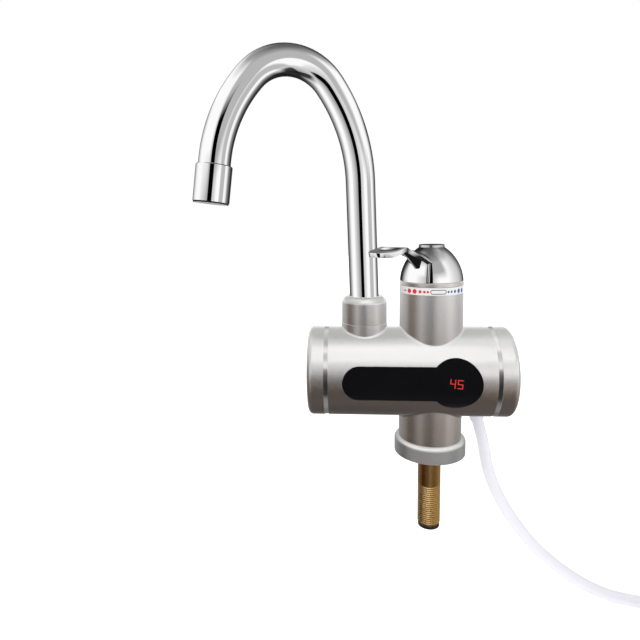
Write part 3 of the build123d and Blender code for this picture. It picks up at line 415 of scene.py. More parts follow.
def wrap_on_label(obj, turn):
    """Lays a flat mark, drawn about the origin, round the label ring at a bearing."""
    for vertex in obj.data.vertices:
        x, y, z = vertex.co
        angle = radians(turn) + x / LABEL_R
        radius = LABEL_R + z
        vertex.co = (radius * sin(angle), -radius * cos(angle), LABEL_Z + y)


def add_dot(name, turn, across, tall, slot, finish_of):
    """A printed spot: a thin disc with a rounded rim, bent round the ring."""
    deselect()
    bpy.ops.mesh.primitive_circle_add(vertices=28, radius=0.5, fill_type="TRIFAN")
    obj = bpy.context.object
    bpy.ops.object.mode_set(mode="EDIT")
    bpy.ops.mesh.select_all(action="SELECT")
    bpy.ops.mesh.extrude_region_move(TRANSFORM_OT_translate={"value": (0, 0, 1)})
    bpy.ops.transform.resize(value=(MARK_RIM, MARK_RIM, 1))
    bpy.ops.mesh.select_all(action="SELECT")
    bpy.ops.mesh.normals_make_consistent(inside=False)
    bpy.ops.object.mode_set(mode="OBJECT")
    for vertex in obj.data.vertices:
        x, y, z = vertex.co
        vertex.co = (x * across, y * tall, z * MARK_HEIGHT)
    wrap_on_label(obj, turn)
    return finished(obj, name, "body", slot, finish_of)


def stadium(across, tall, corners):
    """Points round a slot-shaped outline, anticlockwise."""
    half = (across - tall) / 2
    points = []
    for side in (1, -1):
        for k in range(corners + 1):
            angle = (k / corners - 0.5) * pi
            points.append((side * (half + tall / 2 * cos(angle)), side * tall / 2 * sin(angle)))
    straight = 6
    top = [(half - 2 * half * k / straight, tall / 2) for k in range(1, straight)]
    return points[:corners + 1] + top + points[corners + 1:] + [(-x, -y) for x, y in top]


def add_label_frame(name, turn, across, tall, line, slot, finish_of):
    """A printed slot-shaped outline of an even line, bent round the ring."""
    outer = stadium(across, tall, 10)
    inner = stadium(across - 2 * line, tall - 2 * line, 10)
    mesh = bpy.data.meshes.new(name)
    count = len(outer)
    rows = [(outer, 0), (outer, MARK_HEIGHT), (inner, MARK_HEIGHT), (inner, 0)]
    points = [(x, y, z) for outline, z in rows for x, y in outline]
    faces = []
    for row in range(len(rows)):
        below, above = row * count, (row + 1) % len(rows) * count
        for k in range(count):
            after = (k + 1) % count
            faces.append((below + k, below + after, above + after, above + k))
    mesh.from_pydata(points, [], faces)
    obj = link(bpy.data.objects.new(name, mesh))
    wrap_on_label(obj, turn)
    return finished(obj, name, "body", slot, finish_of)


def add_label_marks(finish_of):
    """The mark scale: red spots growing to the hot side with a dark end mark, blue ones growing to
    the cold side, and a bare frame between them."""
    sides = ((-1, "hot", 1.0, "red_wire"), (1, "cold", COLD_SPOT_WIDTH, "blue_case"))
    for number, (turn, size) in enumerate(LABEL_SPOTS, 1):
        for side, word, width, slot in sides:
            name, middle = f"{word}_mark_{number}", LABEL_MIDDLE + side * turn
            add_dot(name, middle, width * size * MM, size * MM, slot, finish_of)
    across, tall = HOT_END_MARK
    add_dot("hot_end_mark", HOT_END_TURN, across * MM, tall * MM, "black_gloss", finish_of)
    across, tall = LABEL_FRAME
    add_label_frame(
        "label_frame", LABEL_MIDDLE, across * MM, tall * MM, LABEL_FRAME_LINE * MM, "black_gloss", finish_of,
    )


def dome_side(drawn_in, count):
    """Points up the dome's side, as radius and height in millimetres, drawn in from the outside."""
    foot, crest = Vector(DOME_FOOT), Vector(DOME_CREST)
    chord = crest - foot
    out = Vector((chord.y, -chord.x)).normalized()
    bend = (chord.length ** 2 / 4 + DOME_BULGE ** 2) / (2 * DOME_BULGE)
    points = []
    for k in range(count + 1):
        along = k / count
        rise = sqrt(bend ** 2 - (chord.length * (along - 0.5)) ** 2) - (bend - DOME_BULGE)
        points.append(tuple(foot + chord * along + out * (rise - drawn_in)))
    return points


def raised(points):
    """Radii and heights in millimetres over the barrel's axis, in metres over the deck."""
    return [(radius * MM, BARREL_Z + height * MM) for radius, height in points]


def turn_to(obj, angle):
    """Turns a piece that was drawn along +X about the upright axis."""
    for vertex in obj.data.vertices:
        x, y, z = vertex.co
        vertex.co = (x * cos(angle) - y * sin(angle), x * sin(angle) + y * cos(angle), z)


def soften(obj, width):
    deselect()
    obj.select_set(True)
    bpy.context.view_layer.objects.active = obj
    bevel = obj.modifiers.new("softened", "BEVEL")
    bevel.width = width
    bevel.segments = 3
    bevel.limit_method = "ANGLE"
    bevel.angle_limit = SHARP_ANGLE
    bpy.ops.object.modifier_apply(modifier=bevel.name)


def plate(outline, half, softness):
    """A flat outline of lengths and heights, made as thick as twice half and softened."""
    deselect()
    bpy.ops.mesh.primitive_circle_add(vertices=len(outline), radius=1.0, fill_type="NGON")
    obj = bpy.context.object
    for vertex, (along, height) in zip(obj.data.vertices, outline):
        vertex.co = (along, half, height)
    bpy.ops.object.mode_set(mode="EDIT")
    bpy.ops.mesh.select_all(action="SELECT")
    bpy.ops.mesh.extrude_region_move(TRANSFORM_OT_translate={"value": (0, -2 * half, 0)})
    bpy.ops.mesh.select_all(action="SELECT")
    bpy.ops.mesh.normals_make_consistent(inside=False)
    bpy.ops.object.mode_set(mode="OBJECT")
    soften(obj, softness)
    return obj


def add_handle_dome(finish_of):
    """The dome of the handle, hollow underneath, with a fin down each side of the lever."""
    outer = dome_side(0, 20)
    inner = [p for p in dome_side(DOME_WALL, 12) if p[0] > DOME_BORE_R + 1]
    rim = [(DOME_BORE_R, DOME_CREST[1]), (DOME_BORE_R, inner[-1][1])]
    shell = lathe(raised(outer + rim + inner[::-1]), steps=96)
    fins = []
    for side in (-1, 1):
        proud = [p for p in dome_side(-FIN_PROUD, 16) if p[1] < FIN_TOP]
        sunk = [(radius - FIN_DEPTH, height) for radius, height in proud]
        fin = plate(raised(proud + sunk[::-1]), FIN_HALF * MM, FIN_EDGE * MM)
        turn_to(fin, LEVER_TURN + side * FIN_TURN)
        fins.append(fin)
    dome = join([shell] + fins)
    return finished(dome, "handle_dome", "handle", "chrome", finish_of, ["handle"])


def lever_at(reach):
    """Half the width, the edge's height and the middle's height at a reach, eased through the sections."""
    table = LEVER_SECTIONS
    k = max(i for i in range(len(table) - 1) if table[i][0] <= reach or i == 0)
    before, start, end, after = (table[min(max(k + step, 0), len(table) - 1)] for step in (-1, 0, 1, 2))
    span = end[0] - start[0]
    t = (reach - start[0]) / span
    values = []
    for column in (1, 2, 3):
        rise_in = (end[column] - before[column]) / (end[0] - before[0]) * span
        rise_out = (after[column] - start[column]) / (after[0] - start[0]) * span
        values.append(
            start[column] * (2 * t ** 3 - 3 * t ** 2 + 1) + rise_in * (t ** 3 - 2 * t ** 2 + t)
            + end[column] * (3 * t ** 2 - 2 * t ** 3) + rise_out * (t ** 3 - t ** 2)
        )
    return values


def strap_spot(reach, across):
    """A point of the strap's upper face, where across runs from -1 to 1 over its width. The corners
    are rounded, the plate is dished, and its end is drawn in to a shallow curve."""
    last = LEVER_SECTIONS[-1][0]
    half, edge, middle = lever_at(reach)
    past = max(0.0, reach - (last - LEVER_CORNER))
    half -= LEVER_CORNER - sqrt(LEVER_CORNER ** 2 - past ** 2)
    height = edge + (middle - edge) * (1 - across ** 2)
    dish_reach, dish_long, dish_wide, dish_depth = DISH
    off = ((reach - dish_reach) / dish_long) ** 2 + (across * half / dish_wide) ** 2
    if off < 1:
        height -= dish_depth * (1 - off) ** 1.5 * (1 + off)
    near_end = max(0.0, (reach - LEVER_END_START) / (last - LEVER_END_START))
    drawn = (across * half) ** 2 / (2 * LEVER_END_R) * near_end ** 2
    return ((reach - drawn) * MM, across * half * MM, BARREL_Z + height * MM)


def lever_strap():
    """The lever's strap, which narrows at its waist and ends in a dished finger plate."""
    deselect()
    bpy.ops.mesh.primitive_grid_add(x_subdivisions=72, y_subdivisions=20, size=2.0)
    strap = bpy.context.object
    first, last = LEVER_SECTIONS[0][0], LEVER_SECTIONS[-1][0]
    for vertex in strap.data.vertices:
        reach = first + (last - first) * (vertex.co.x + 1) / 2
        vertex.co = strap_spot(reach, vertex.co.y)
    wall = strap.modifiers.new("wall", "SOLIDIFY")
    wall.thickness = LEVER_THICKNESS * MM
    wall.offset = -1
    bpy.ops.object.modifier_apply(modifier=wall.name)
    soften(strap, LEVER_EDGE * MM)
    return strap


def add_lever(finish_of):
    """The lever: its strap, and a rib underneath it."""
    strap = lever_strap()
    rib = plate(raised(RIB_OUTLINE), RIB_HALF * MM, RIB_EDGE * MM)
    for piece, name in ((strap, "handle_lever"), (rib, "lever_rib")):
        turn_to(piece, LEVER_TURN)
        finished(piece, name, "handle", "chrome", finish_of)


def smooth_copy(node, name, body, slot, finish_of):
    """A copy of a CAD node with its loose triangles merged, so that no seam shows in its gloss."""
    mesh = bpy.data.objects[node].data.copy()
    work = bmesh.new()
    work.from_mesh(mesh)
    bmesh.ops.remove_doubles(work, verts=work.verts, dist=WELD)
    work.to_mesh(mesh)
    work.free()
    if "custom_normal" in mesh.attributes:
        mesh.attributes.remove(mesh.attributes["custom_normal"])
    obj = link(bpy.data.objects.new(name, mesh))
    return finished(obj, name, body, slot, finish_of, [node])


def mean_place(vertices):
    return sum((vertex.co for vertex in vertices), Vector()) / len(vertices)


def aerator_outline():
    """Radii and heights of the face: flat behind, with a bevelled rim and round grooves in front."""
    outline = [
        (0, -AERATOR_DEPTH), (AERATOR_R, -AERATOR_DEPTH), (AERATOR_R, -AERATOR_PROUD),
        (AERATOR_R - AERATOR_BEVEL, AERATOR_PROUD),
    ]
    for radius in AERATOR_RINGS:
        outline += [
            (radius + GROOVE_HALF, AERATOR_PROUD), (radius + GROOVE_FLOOR_HALF, -GROOVE_DEPTH),
            (radius - GROOVE_FLOOR_HALF, -GROOVE_DEPTH), (radius - GROOVE_HALF, AERATOR_PROUD),
        ]
    outline.append((0, AERATOR_PROUD))
    return [(radius * MM, height * MM) for radius, height in outline]


def add_aerator_face(finish_of):
    """The aerator's pale face, ringed like a mesh, a hair proud of the washer round it."""
    washer = bpy.data.objects["aerator_washer"].data.vertices
    middle = mean_place(washer)
    axis = (middle - mean_place(bpy.data.objects["outlet_sleeve"].data.vertices)).normalized()
    end = max((vertex.co - middle).dot(axis) for vertex in washer)
    face = lathe(aerator_outline(), steps=64)
    face.rotation_mode = "QUATERNION"
    face.rotation_quaternion = axis.to_track_quat("Z", "Y")
    face.location = middle + axis * end
    pale = finish("aerator_grey", (0.40, 0.40, 0.40), (0.35, 0.35, 0.35), (0.4, 0.5), 2500.0, 0.1)
    return finished(face, "aerator_face", "spout", "grey_plastic", {"grey_plastic": pale})


def feed(tree, value, socket):
    """Puts a constant on a socket, or links another node's output to it."""
    if isinstance(value, (int, float, tuple)):
        socket.default_value = value
    else:
        tree.links.new(value, socket)


def maths(tree, operation, *values):
    """One step of arithmetic on numbers and outputs."""
    node = tree.nodes.new("ShaderNodeMath")
    node.operation = operation
    for socket, value in zip(node.inputs, values):
        feed(tree, value, socket)
    return node.outputs[0]


def mix(tree, kind, share, first, second):
    """Two colours, blended by a share of the second."""
    node = tree.nodes.new("ShaderNodeMix")
    node.data_type = "RGBA"
    node.blend_type = kind
    for socket, value in ((0, share), (6, first), (7, second)):
        feed(tree, value, node.inputs[socket])
    return node.outputs[2]


def grain_noise(tree, place, scale, detail):
    """Noise over the stretched Object coordinates."""
    noise = tree.nodes.new("ShaderNodeTexNoise")
    noise.inputs["Detail"].default_value = detail
    tree.links.new(place, noise.inputs["Vector"])
    tree.links.new(scale, noise.inputs["Scale"])
    return noise.outputs["Fac"]


def texture_group():
    """A grain over the surface, fine and broad, for paint, plastic and metal."""
    group = bpy.data.node_groups.new("surface_grain", "ShaderNodeTree")
    size = group.interface.new_socket("Size", in_out="INPUT", socket_type="NodeSocketFloat")
    stretch = group.interface.new_socket("Stretch", in_out="INPUT", socket_type="NodeSocketVector")
    group.interface.new_socket("Fine", in_out="OUTPUT", socket_type="NodeSocketFloat")
    group.interface.new_socket("Broad", in_out="OUTPUT", socket_type="NodeSocketFloat")
    size.default_value = 1000.0
    stretch.default_value = (1, 1, 1)
    given = group.nodes.new("NodeGroupInput")
    out = group.nodes.new("NodeGroupOutput")
    place = group.nodes.new("ShaderNodeTexCoord")
    stretched = group.nodes.new("ShaderNodeVectorMath")
    stretched.operation = "MULTIPLY"
    group.links.new(place.outputs["Object"], stretched.inputs[0])
    group.links.new(given.outputs["Stretch"], stretched.inputs[1])
    broad = maths(group, "MULTIPLY", given.outputs["Size"], BROAD_GRAIN)
    for name, scale, detail in (("Fine", given.outputs["Size"], 2.0), ("Broad", broad, 3.0)):
        group.links.new(grain_noise(group, stretched.outputs[0], scale, detail), out.inputs[name])
    return group


def finish(name, light, dark, rough, grain, relief, stretch=(1, 1, 1), **gloss):
    """A surface whose colour, roughness and relief follow the grain."""
    material = bpy.data.materials.new(name)
    material.use_nodes = True
    tree = material.node_tree
    shader = tree.nodes["Principled BSDF"]
    for socket, value in gloss.items():
        shader.inputs[socket.replace("_", " ")].default_value = value
    texture = tree.nodes.new("ShaderNodeGroup")
    texture.node_tree = bpy.data.node_groups["surface_grain"]
    texture.inputs["Size"].default_value = grain
    texture.inputs["Stretch"].default_value = stretch
    colour = mix(tree, "MIX", texture.outputs["Broad"], (*dark, 1), (*light, 1))
    tree.links.new(colour, shader.inputs["Base Color"])
    span = tree.nodes.new("ShaderNodeMapRange")
    span.inputs["From Min"].default_value, span.inputs["From Max"].default_value = GRAIN_SPAN
    span.inputs["To Min"].default_value, span.inputs["To Max"].default_value = rough
    tree.links.new(texture.outputs["Broad"], span.inputs["Value"])
    tree.links.new(span.outputs["Result"], shader.inputs["Roughness"])
    bump = tree.nodes.new("ShaderNodeBump")
    bump.inputs["Strength"].default_value = relief
    bump.inputs["Distance"].default_value = GRAIN_DEPTH
    tree.links.new(texture.outputs["Fine"], bump.inputs["Height"])
    tree.links.new(bump.outputs["Normal"], shader.inputs["Normal"])
    return material


def case_finishes():
    """The case, the spout, the display, the label ring and the cord."""
    return {
        "satin_silver": finish(
            "silver_paint", (0.64, 0.635, 0.63), (0.62, 0.615, 0.61), (0.25, 0.27), 3000.0, 0.03,
            Metallic=1.0,
        ),
        "satin_metal": finish(
            "brushed_metal", (0.62, 0.615, 0.61), (0.58, 0.575, 0.57), (0.22, 0.26), 1.0, 0.08,
            stretch=NECK_LINES, Metallic=1.0,
        ),
        "chrome": finish(
            "chrome", (0.93, 0.93, 0.93), (0.91, 0.91, 0.91), (0.02, 0.035), 300.0, 0.01, Metallic=1.0,
        ),
        "black_gloss": finish(
            "black_lens", (0.006, 0.006, 0.007), (0.004, 0.004, 0.005), (0.12, 0.16), 800.0, 0.02,
        ),
        "lit_red": finish(
            "lit_digits", (0.6, 0.01, 0.01), (0.5, 0.01, 0.01), (0.4, 0.5), 800.0, 0.02,
            Emission_Color=(0.9, 0.02, 0.015, 1), Emission_Strength=0.2,
        ),
        "white_plastic": finish(
            "white_plastic", (0.83, 0.83, 0.83), (0.80, 0.80, 0.80), (0.22, 0.30), 1500.0, 0.06,
        ),
        "white_matte": finish(
            "white_moulding", (0.80, 0.80, 0.80), (0.76, 0.76, 0.76), (0.45, 0.55), 2500.0, 0.15,
        ),
        "cord_white": finish(
            "cord_jacket", (0.88, 0.87, 0.93), (0.85, 0.84, 0.90), (0.32, 0.40), 1800.0, 0.08,
        ),
    }


def inner_finishes():
    """The inlet, the seals and what is held inside. The label's spots have the last two."""
    return {
        "brass": finish(
            "brass", (0.56, 0.37, 0.15), (0.42, 0.26, 0.09), (0.20, 0.32), 900.0, 0.1, Metallic=1.0,
        ),
        "steel": finish(
            "bright_steel", (0.62, 0.62, 0.62), (0.52, 0.52, 0.52), (0.20, 0.32), 1200.0, 0.1, Metallic=1.0,
        ),
        "rubber": finish(
            "black_rubber", (0.016, 0.016, 0.016), (0.010, 0.010, 0.010), (0.55, 0.7), 3000.0, 0.2,
        ),
        "grey_plastic": finish(
            "grey_moulding", (0.62, 0.62, 0.63), (0.54, 0.54, 0.55), (0.35, 0.5), 2500.0, 0.12,
        ),
        "green_board": finish(
            "green_board", (0.03, 0.20, 0.07), (0.02, 0.14, 0.05), (0.3, 0.4), 1500.0, 0.1,
        ),
        "ceramic": finish(
            "ceramic", (0.86, 0.84, 0.79), (0.80, 0.78, 0.73), (0.2, 0.3), 2500.0, 0.05,
        ),
        "blue_case": finish(
            "blue_case", (0.015, 0.12, 0.38), (0.01, 0.09, 0.32), (0.28, 0.36), 2000.0, 0.06,
        ),
        "red_wire": finish(
            "red_wire", (0.88, 0.004, 0.012), (0.80, 0.004, 0.010), (0.35, 0.45), 2000.0, 0.06,
        ),
    }


def make_finishes():
    texture_group()
    return {**case_finishes(), **inner_finishes()}


def trim_finish():
    return finish(
        "trim_band", (0.50, 0.495, 0.49), (0.44, 0.435, 0.43), (0.10, 0.16), 1.0, 0.1,
        stretch=BARREL_LINES, Metallic=1.0,
    )


def dress_nodes(finishes):
    for part in frame["record"]["subparts"]:
        obj = bpy.data.objects[part["node"]]
        obj.data.materials.clear()
        obj.data.materials.append(finishes[part["material_slot"]])
    trim = trim_finish()
    for name in TRIM_RINGS:
        bpy.data.objects[name].data.materials[0] = trim


def add_floor():
    deselect()
    bpy.ops.mesh.primitive_plane_add(size=FLOOR_SIZE, location=(0, 0, FLOOR_Z - FLOOR_DROP))
    floor = bpy.context.object
    floor.name = "floor"
    floor.visible_glossy = False
    material = bpy.data.materials.new("pale_floor")
    material.use_nodes = True
    shader = material.node_tree.nodes["Principled BSDF"]
    shader.inputs["Base Color"].default_value = (0.9, 0.9, 0.9, 1)
    shader.inputs["Roughness"].default_value = 1.0
    shader.inputs["Specular IOR Level"].default_value = 0.0
    shader.inputs["Emission Color"].default_value = WHITE
    shader.inputs["Emission Strength"].default_value = FLOOR_GLOW
    floor.data.materials.append(material)
    floor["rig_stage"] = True


def add_world():
    """An even white room, which the shiny surfaces do not mirror."""
    world = bpy.data.worlds.new("studio")
    bpy.context.scene.world = world
    world.use_nodes = True
    world.node_tree.nodes["Background"].inputs["Color"].default_value = WHITE
    world.node_tree.nodes["Background"].inputs["Strength"].default_value = 1.0
    world.cycles_visibility.glossy = False


def shade(tree, along, stops):
    """A ramp through grey levels or colours, where along is an output and the angle it spans."""
    value, span = along
    node = tree.nodes.new("ShaderNodeValToRGB")
    band = node.color_ramp
    while len(band.elements) < len(stops):
        band.elements.new(0.5)
    for element, (angle, level) in zip(band.elements, stops):
        element.position = angle / span + 0.5
        tint = level if isinstance(level, tuple) else (level, level, level)
        element.color = (*tint, 1)
    tree.links.new(value, node.inputs[0])
    return node.outputs[0]


def bearing_and_rise(tree):
    """Where a point lies, seen from a shell's middle: two outputs, each with the angle it spans."""
    place = tree.nodes.new("ShaderNodeTexCoord")
    way = tree.nodes.new("ShaderNodeVectorMath")
    way.operation = "NORMALIZE"
    tree.links.new(place.outputs["Object"], way.inputs[0])
    split = tree.nodes.new("ShaderNodeSeparateXYZ")
    tree.links.new(way.outputs[0], split.inputs[0])
    forward = maths(tree, "MULTIPLY", split.outputs["Y"], -1.0)
    bearing = maths(tree, "DIVIDE", maths(tree, "ARCTAN2", split.outputs["X"], forward), 2 * pi)
    rise = maths(tree, "DIVIDE", maths(tree, "ARCSINE", split.outputs["Z"]), pi)
    return (maths(tree, "ADD", bearing, 0.5), 360), (maths(tree, "ADD", rise, 0.5), 180)


def glow_over_clear(tree, colour):
    """Light of a colour, added to what lies behind it."""
    glow = tree.nodes.new("ShaderNodeEmission")
    tree.links.new(colour, glow.inputs["Color"])
    clear = tree.nodes.new("ShaderNodeBsdfTransparent")
    both = tree.nodes.new("ShaderNodeAddShader")
    tree.links.new(glow.outputs[0], both.inputs[0])
    tree.links.new(clear.outputs[0], both.inputs[1])
    out = tree.nodes.new("ShaderNodeOutputMaterial")
    tree.links.new(both.outputs[0], out.inputs["Surface"])


def shell_object(name, radius):
    """A shell about the object that is seen only in mirrored light."""
    deselect()
    bpy.ops.mesh.primitive_ico_sphere_add(subdivisions=4, radius=radius, location=STUDIO_CENTRE)
    shell = bpy.context.object
    shell.name = name
    for seen_by in ("camera", "diffuse", "transmission", "volume_scatter", "shadow"):
        setattr(shell, "visible_" + seen_by, False)
    return shell


def add_shell(
    name, radius, pieces, front, back, band, side=None, around=EVEN, slot=EVEN, slot_band=NOWHERE,
):
    """A glowing shell that only some pieces mirror. The front, the sides and the back are shaded by
    rise. Within a band of rises the shades around it, and in another a slot's, also count by bearing."""
    shell = shell_object(name, radius)
    material = bpy.data.materials.new(name)
    material.use_nodes = True
    material.cycles.emission_sampling = "NONE"
    tree = material.node_tree
    tree.nodes.clear()
    bearing, rise = bearing_and_rise(tree)
    upright = mix(
        tree, "MIX", shade(tree, bearing, BESIDE), shade(tree, rise, front), shade(tree, rise, side or front),
    )
    upright = mix(tree, "MIX", shade(tree, bearing, BEHIND), upright, shade(tree, rise, back))
    level = mix(tree, "MIX", shade(tree, rise, band), WHITE, shade(tree, bearing, around))
    opening = mix(tree, "MIX", shade(tree, rise, slot_band), WHITE, shade(tree, bearing, slot))
    level = mix(tree, "MULTIPLY", 1.0, level, opening)
    glow_over_clear(tree, mix(tree, "MULTIPLY", 1.0, upright, level))
    shell.data.materials.append(material)
    shell.light_linking.receiver_collection = pieces
    shell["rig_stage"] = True


def lit_alone(*names):
    """A collection of one piece or a few, for a light made for them."""
    group = bpy.data.collections.new(names[0])
    for name in names:
        group.objects.link(bpy.data.objects[name])
    return group


def lit_pieces(name, slots):
    """A collection of the pieces that have one of some finishes, for the lights made for them."""
    node_slots = {part["node"]: part["material_slot"] for part in frame["record"]["subparts"]}
    group = bpy.data.collections.new(name)
    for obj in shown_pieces():
        if obj.name in LIT_ALONE:
            continue
        slot = node_slots[obj["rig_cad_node"]] if "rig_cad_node" in obj else obj.get("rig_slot")
        if slot in slots:
            group.objects.link(obj)
    return group


def polished_studio(pieces):
    """The spout's: bright walls to above level, a narrow black stripe in front, and dim behind."""
    add_shell(
        "polished_studio", 0.45, pieces,
        front=[
            (-90, 0.02), (-80, 0.40), (-45, 0.73), (-35, 1.05), (8, 1.05), (14, 0.50), (50, 0.50),
            (60, 0.38), (80, 0.16), (90, 0.12),
        ],
        side=[
            (-90, 0.02), (-62, 0.05), (-48, 0.70), (-38, 1.05), (50, 1.05), (62, 0.40), (80, 0.16),
            (90, 0.12),
        ],
        back=[
            (-90, 0.01), (-50, 0.03), (-20, 0.12), (5, 0.20), (20, 0.10), (60, 0.06), (75, 0.12), (90, 0.12),
        ],
        around=[
            (-180, 1.0), (-122, 1.0), (-112, 0.80), (-104, 1.0), (-64, 1.0), (-58, 0.80), (-27, 0.38),
            (-20, 0.30), (5, 0.60), (22, 0.78), (28, 1.0), (46, 1.0), (54, 0.50), (80, 0.50), (88, 1.0),
            (106, 1.0), (120, 0.65), (128, 1.0), (180, 1.0),
        ],
        band=[(-50, 0), (-38, 1), (8, 1), (20, 0)],
        slot=[
            (-180, 0.12), (-150, 0.2), (-125, 0.35), (-110, 0.55), (-95, 0.85), (-85, 1), (-21, 1),
            (-20, 0.002), (3, 0.002), (4, 1), (95, 1), (112, 0.7), (126, 0.35), (145, 0.25), (180, 0.1),
        ],
        slot_band=[(-50, 0), (-38, 1), (28, 1), (38, 0)],
    )


def dome_studio():
    """The dome's: as the spout's, with calmer sides and a taller stripe."""
    add_shell(
        "dome_studio", 0.43, lit_alone(*DOME_PIECES),
        front=[
            (-90, 0.02), (-80, 0.40), (-45, 0.73), (-35, 1.05), (4, 1.05), (22, 0.45), (50, 0.42),
            (60, 0.30), (80, 0.16), (90, 0.12),
        ],
        side=[
            (-90, 0.02), (-80, 0.40), (-45, 0.73), (-35, 1.05), (38, 1.05), (58, 0.45), (80, 0.16),
            (90, 0.12),
        ],
        back=[(-90, 0.01), (-50, 0.03), (-20, 0.08), (20, 0.10), (60, 0.08), (90, 0.12)],
        around=[
            (-180, 1.0), (-64, 1.0), (-27, 0.6), (-20, 0.5), (5, 0.6), (24, 1.0), (120, 1.0), (180, 0.8),
        ],
        band=[(-50, 0), (-38, 1), (8, 1), (20, 0)],
        slot=[
            (-180, 0.12), (-150, 0.3), (-125, 0.8), (-104, 1), (-21, 1), (-20, 0.002), (3, 0.002), (4, 1),
            (58, 1), (80, 0.75), (100, 0.6), (125, 0.3), (180, 0.1),
        ],
        slot_band=[(-50, 0), (-38, 1), (50, 1), (58, 0)],
    )


def lever_studio():
    """The lever's: dark below, a bright opening high behind it, and a black stripe at the left."""
    add_shell(
        "lever_studio", 0.47, lit_alone("handle_lever"),
        front=[(-90, 0.01), (-50, 0.03), (-25, 0.8), (30, 1.05), (60, 0.6), (90, 0.25)],
        back=[(-90, 0.01), (-20, 0.012), (4, 0.03), (14, 0.05), (22, 0.30), (32, 0.95), (60, 0.9), (90, 0.4)],
        band=[(-70, 0), (-60, 1), (20, 1), (30, 0)],
        slot=[(-67, 1), (-66, 0.002), (-52, 0.002), (-51, 1)],
        slot_band=[(-50, 0), (-38, 1), (12, 1), (20, 0)],
    )


def rib_studio():
    """The lever's rib's: an even grey with a dark opening at the right."""
    level = [(-90, 0.02), (-60, 0.25), (-10, 0.45), (30, 0.5), (90, 0.5)]
    add_shell(
        "rib_studio", 0.41, lit_alone("lever_rib"), front=level, back=level,
        band=[(-70, 0), (-60, 1), (20, 1), (30, 0)],
        slot=[(-180, 1), (60, 1), (84, 0.02), (140, 0.02), (160, 1), (180, 1)],
        slot_band=[(-80, 1), (40, 1), (60, 0)],
    )


def satin_studio(pieces):
    """The satin case's: bright above, warm and dim below, and brighter walls just under level."""
    lowest = (-90, (0.10, 0.083, 0.074))
    low = (-75, (0.14, 0.116, 0.104))
    warm = (0.95, 0.80, 0.70)
    add_shell(
        "satin_studio", 0.55, pieces,
        front=[
            lowest, low, (-45, (0.085, 0.067, 0.056)), (-21, (0.155, 0.140, 0.132)), (-10, 0.29), (0, 0.49),
            (11, 0.83), (21, 1.14), (32, 1.55), (45, 1.38), (65, 1.60), (80, 1.20), (90, 0.83),
        ],
        side=[
            lowest, low, (-45, (0.13, 0.112, 0.10)), (-21, (0.22, 0.205, 0.195)), (-10, 0.33), (0, 0.49),
            (10, 0.80), (70, 1.2), (90, 0.83),
        ],
        back=[lowest, (-20, 0.15), (0, 0.49), (10, 0.80), (70, 0.70), (90, 0.83)],
        around=[
            (-180, 3.0), (-146, 3.0), (-105, 1.9), (-90, warm), (-68, warm), (-38, 2.5), (-13, 1.8),
            (0, 1.3), (20, 3.2), (65, 3.6), (100, 2.3), (146, 2.9), (180, 2.9),
        ],
        band=[(-60, 0), (-32, 1), (-6, 1), (15, 0)],
    )


def trim_studio():
    """The trim rings': short light and dark stretches one above the other."""
    add_shell(
        "trim_studio", 0.53, lit_alone(*TRIM_RINGS),
        front=[
            (-90, 0.5), (-68, 0.45), (-56, 0.07), (-30, 0.06), (-10, 0.2), (3, 0.55), (10, 1.6), (22, 1.7),
            (32, 1.2), (46, 1.15), (56, 1.9), (66, 1.6), (80, 0.9), (90, 0.9),
        ],
        back=[(-90, 0.4), (-55, 0.26), (0, 0.5), (36, 1.3), (72, 1.0), (90, 0.9)],
        band=[(-75, 0), (-60, 1), (0, 1), (25, 0)],
    )


def foot_studio():
    """The foot ring's: bright above and a warm dim stretch at the left."""
    add_shell(
        "foot_studio", 0.57, lit_alone("base_ring"),
        front=[(-90, 0.2), (-40, 0.40), (-22, 0.50), (-8, 0.9), (30, 1.3), (60, 1.5), (90, 1.0)],
        back=[(-90, 0.2), (-60, 0.3), (0, 0.8), (60, 1.0), (90, 1.0)],
        around=[
            (-180, 0.9), (-130, 0.7), (-95, (0.50, 0.45, 0.41)), (-80, (0.75, 0.71, 0.68)), (-60, 0.9),
            (0, (0.98, 0.94, 0.92)), (50, 1.1), (75, 0.9), (105, 1.1), (125, 0.8), (180, 0.8),
        ],
        band=[(-75, 0), (-60, 1), (0, 1), (25, 0)],
    )


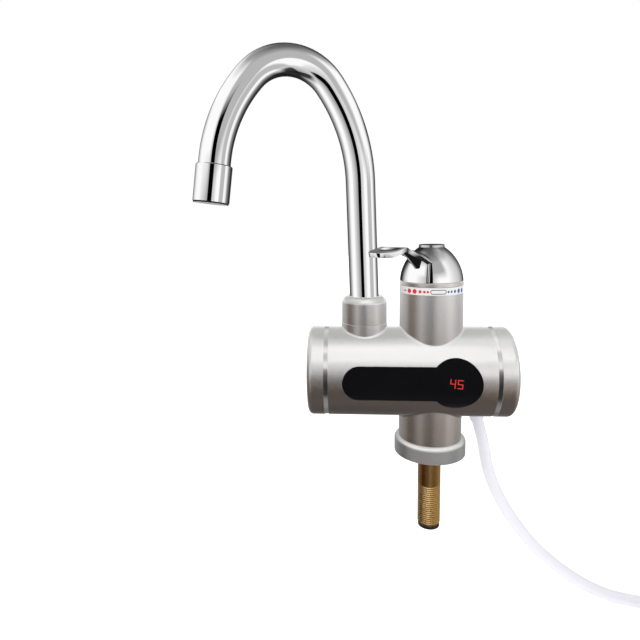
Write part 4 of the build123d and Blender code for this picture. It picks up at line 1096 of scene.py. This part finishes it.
def brass_studio():
    """The shank's: dark at the left, golden at the right, and steps behind that pick out the thread."""
    dark = (0.16, 0.08, 0.04)
    sky = (0.8, 0.9, 1.2)
    add_shell(
        "brass_studio", 0.60, lit_alone("threaded_shank"),
        front=[(-90, 0.05), (-60, 0.4), (-25, 0.7), (-10, 1.0), (25, 1.0), (90, 0.9)],
        back=[
            (-90, 0.05), (-60, 0.1), (-30, 0.7), (18, 0.7), (26, 0.12), (48, 0.12), (54, 2.4), (90, 2.4),
        ],
        around=[
            (-180, sky), (-115, (0.50, 0.42, 0.34)), (-78, dark), (-56, dark), (-33, (0.36, 0.25, 0.20)),
            (-12, (0.34, 0.28, 0.26)), (8, (0.70, 0.70, 0.78)), (40, (0.42, 0.34, 0.22)),
            (60, (0.45, 0.38, 0.25)), (100, (0.80, 0.70, 0.54)), (150, (0.8, 0.85, 1.0)), (180, sky),
        ],
        band=[(-90, 1), (90, 1)],
    )


def soft_studio(pieces):
    """The plastics': even at the sides and dark in front, so that the black lens stays black."""
    even = [(-90, 0.2), (0, 0.5), (60, 0.8), (90, 0.9)]
    add_shell(
        "soft_studio", 0.65, pieces,
        front=[(-90, 0.02), (-35, 0.05), (0, 0.4), (60, 0.8), (90, 0.9)], side=even, back=even,
        around=[(-180, 1.0), (-60, 1.0), (-45, 0.03), (45, 0.03), (60, 1.0), (180, 1.0)],
        band=[(-60, 0), (-50, 1), (72, 1), (82, 0)],
    )


def add_shells():
    """What the polished, the satin and the other surfaces mirror, each its own soft studio."""
    polished = lit_pieces("polished pieces", ("chrome",))
    satin = lit_pieces("satin pieces", ("satin_silver", "satin_metal", "brass", "steel"))
    other = lit_pieces("other pieces", (
        "white_plastic", "white_matte", "cord_white", "black_gloss", "lit_red", "rubber", "grey_plastic",
        "green_board", "ceramic", "blue_case", "red_wire",
    ))
    polished_studio(polished)
    dome_studio()
    lever_studio()
    rib_studio()
    satin_studio(satin)
    trim_studio()
    foot_studio()
    brass_studio()
    soft_studio(other)


add_camera()
finishes = make_finishes()
add_cord(finishes["cord_white"])
dress_nodes(finishes)
add_threaded_shank(finishes)
add_label_marks(finishes)
add_handle_dome(finishes)
add_lever(finishes)
smooth_copy("spout_tube", "gooseneck", "spout", "chrome", finishes)
add_aerator_face(finishes)
add_floor()
add_world()
add_shells()
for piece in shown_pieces():
    piece.visible_glossy = False
bpy.context.scene.view_settings.view_transform = "Standard"
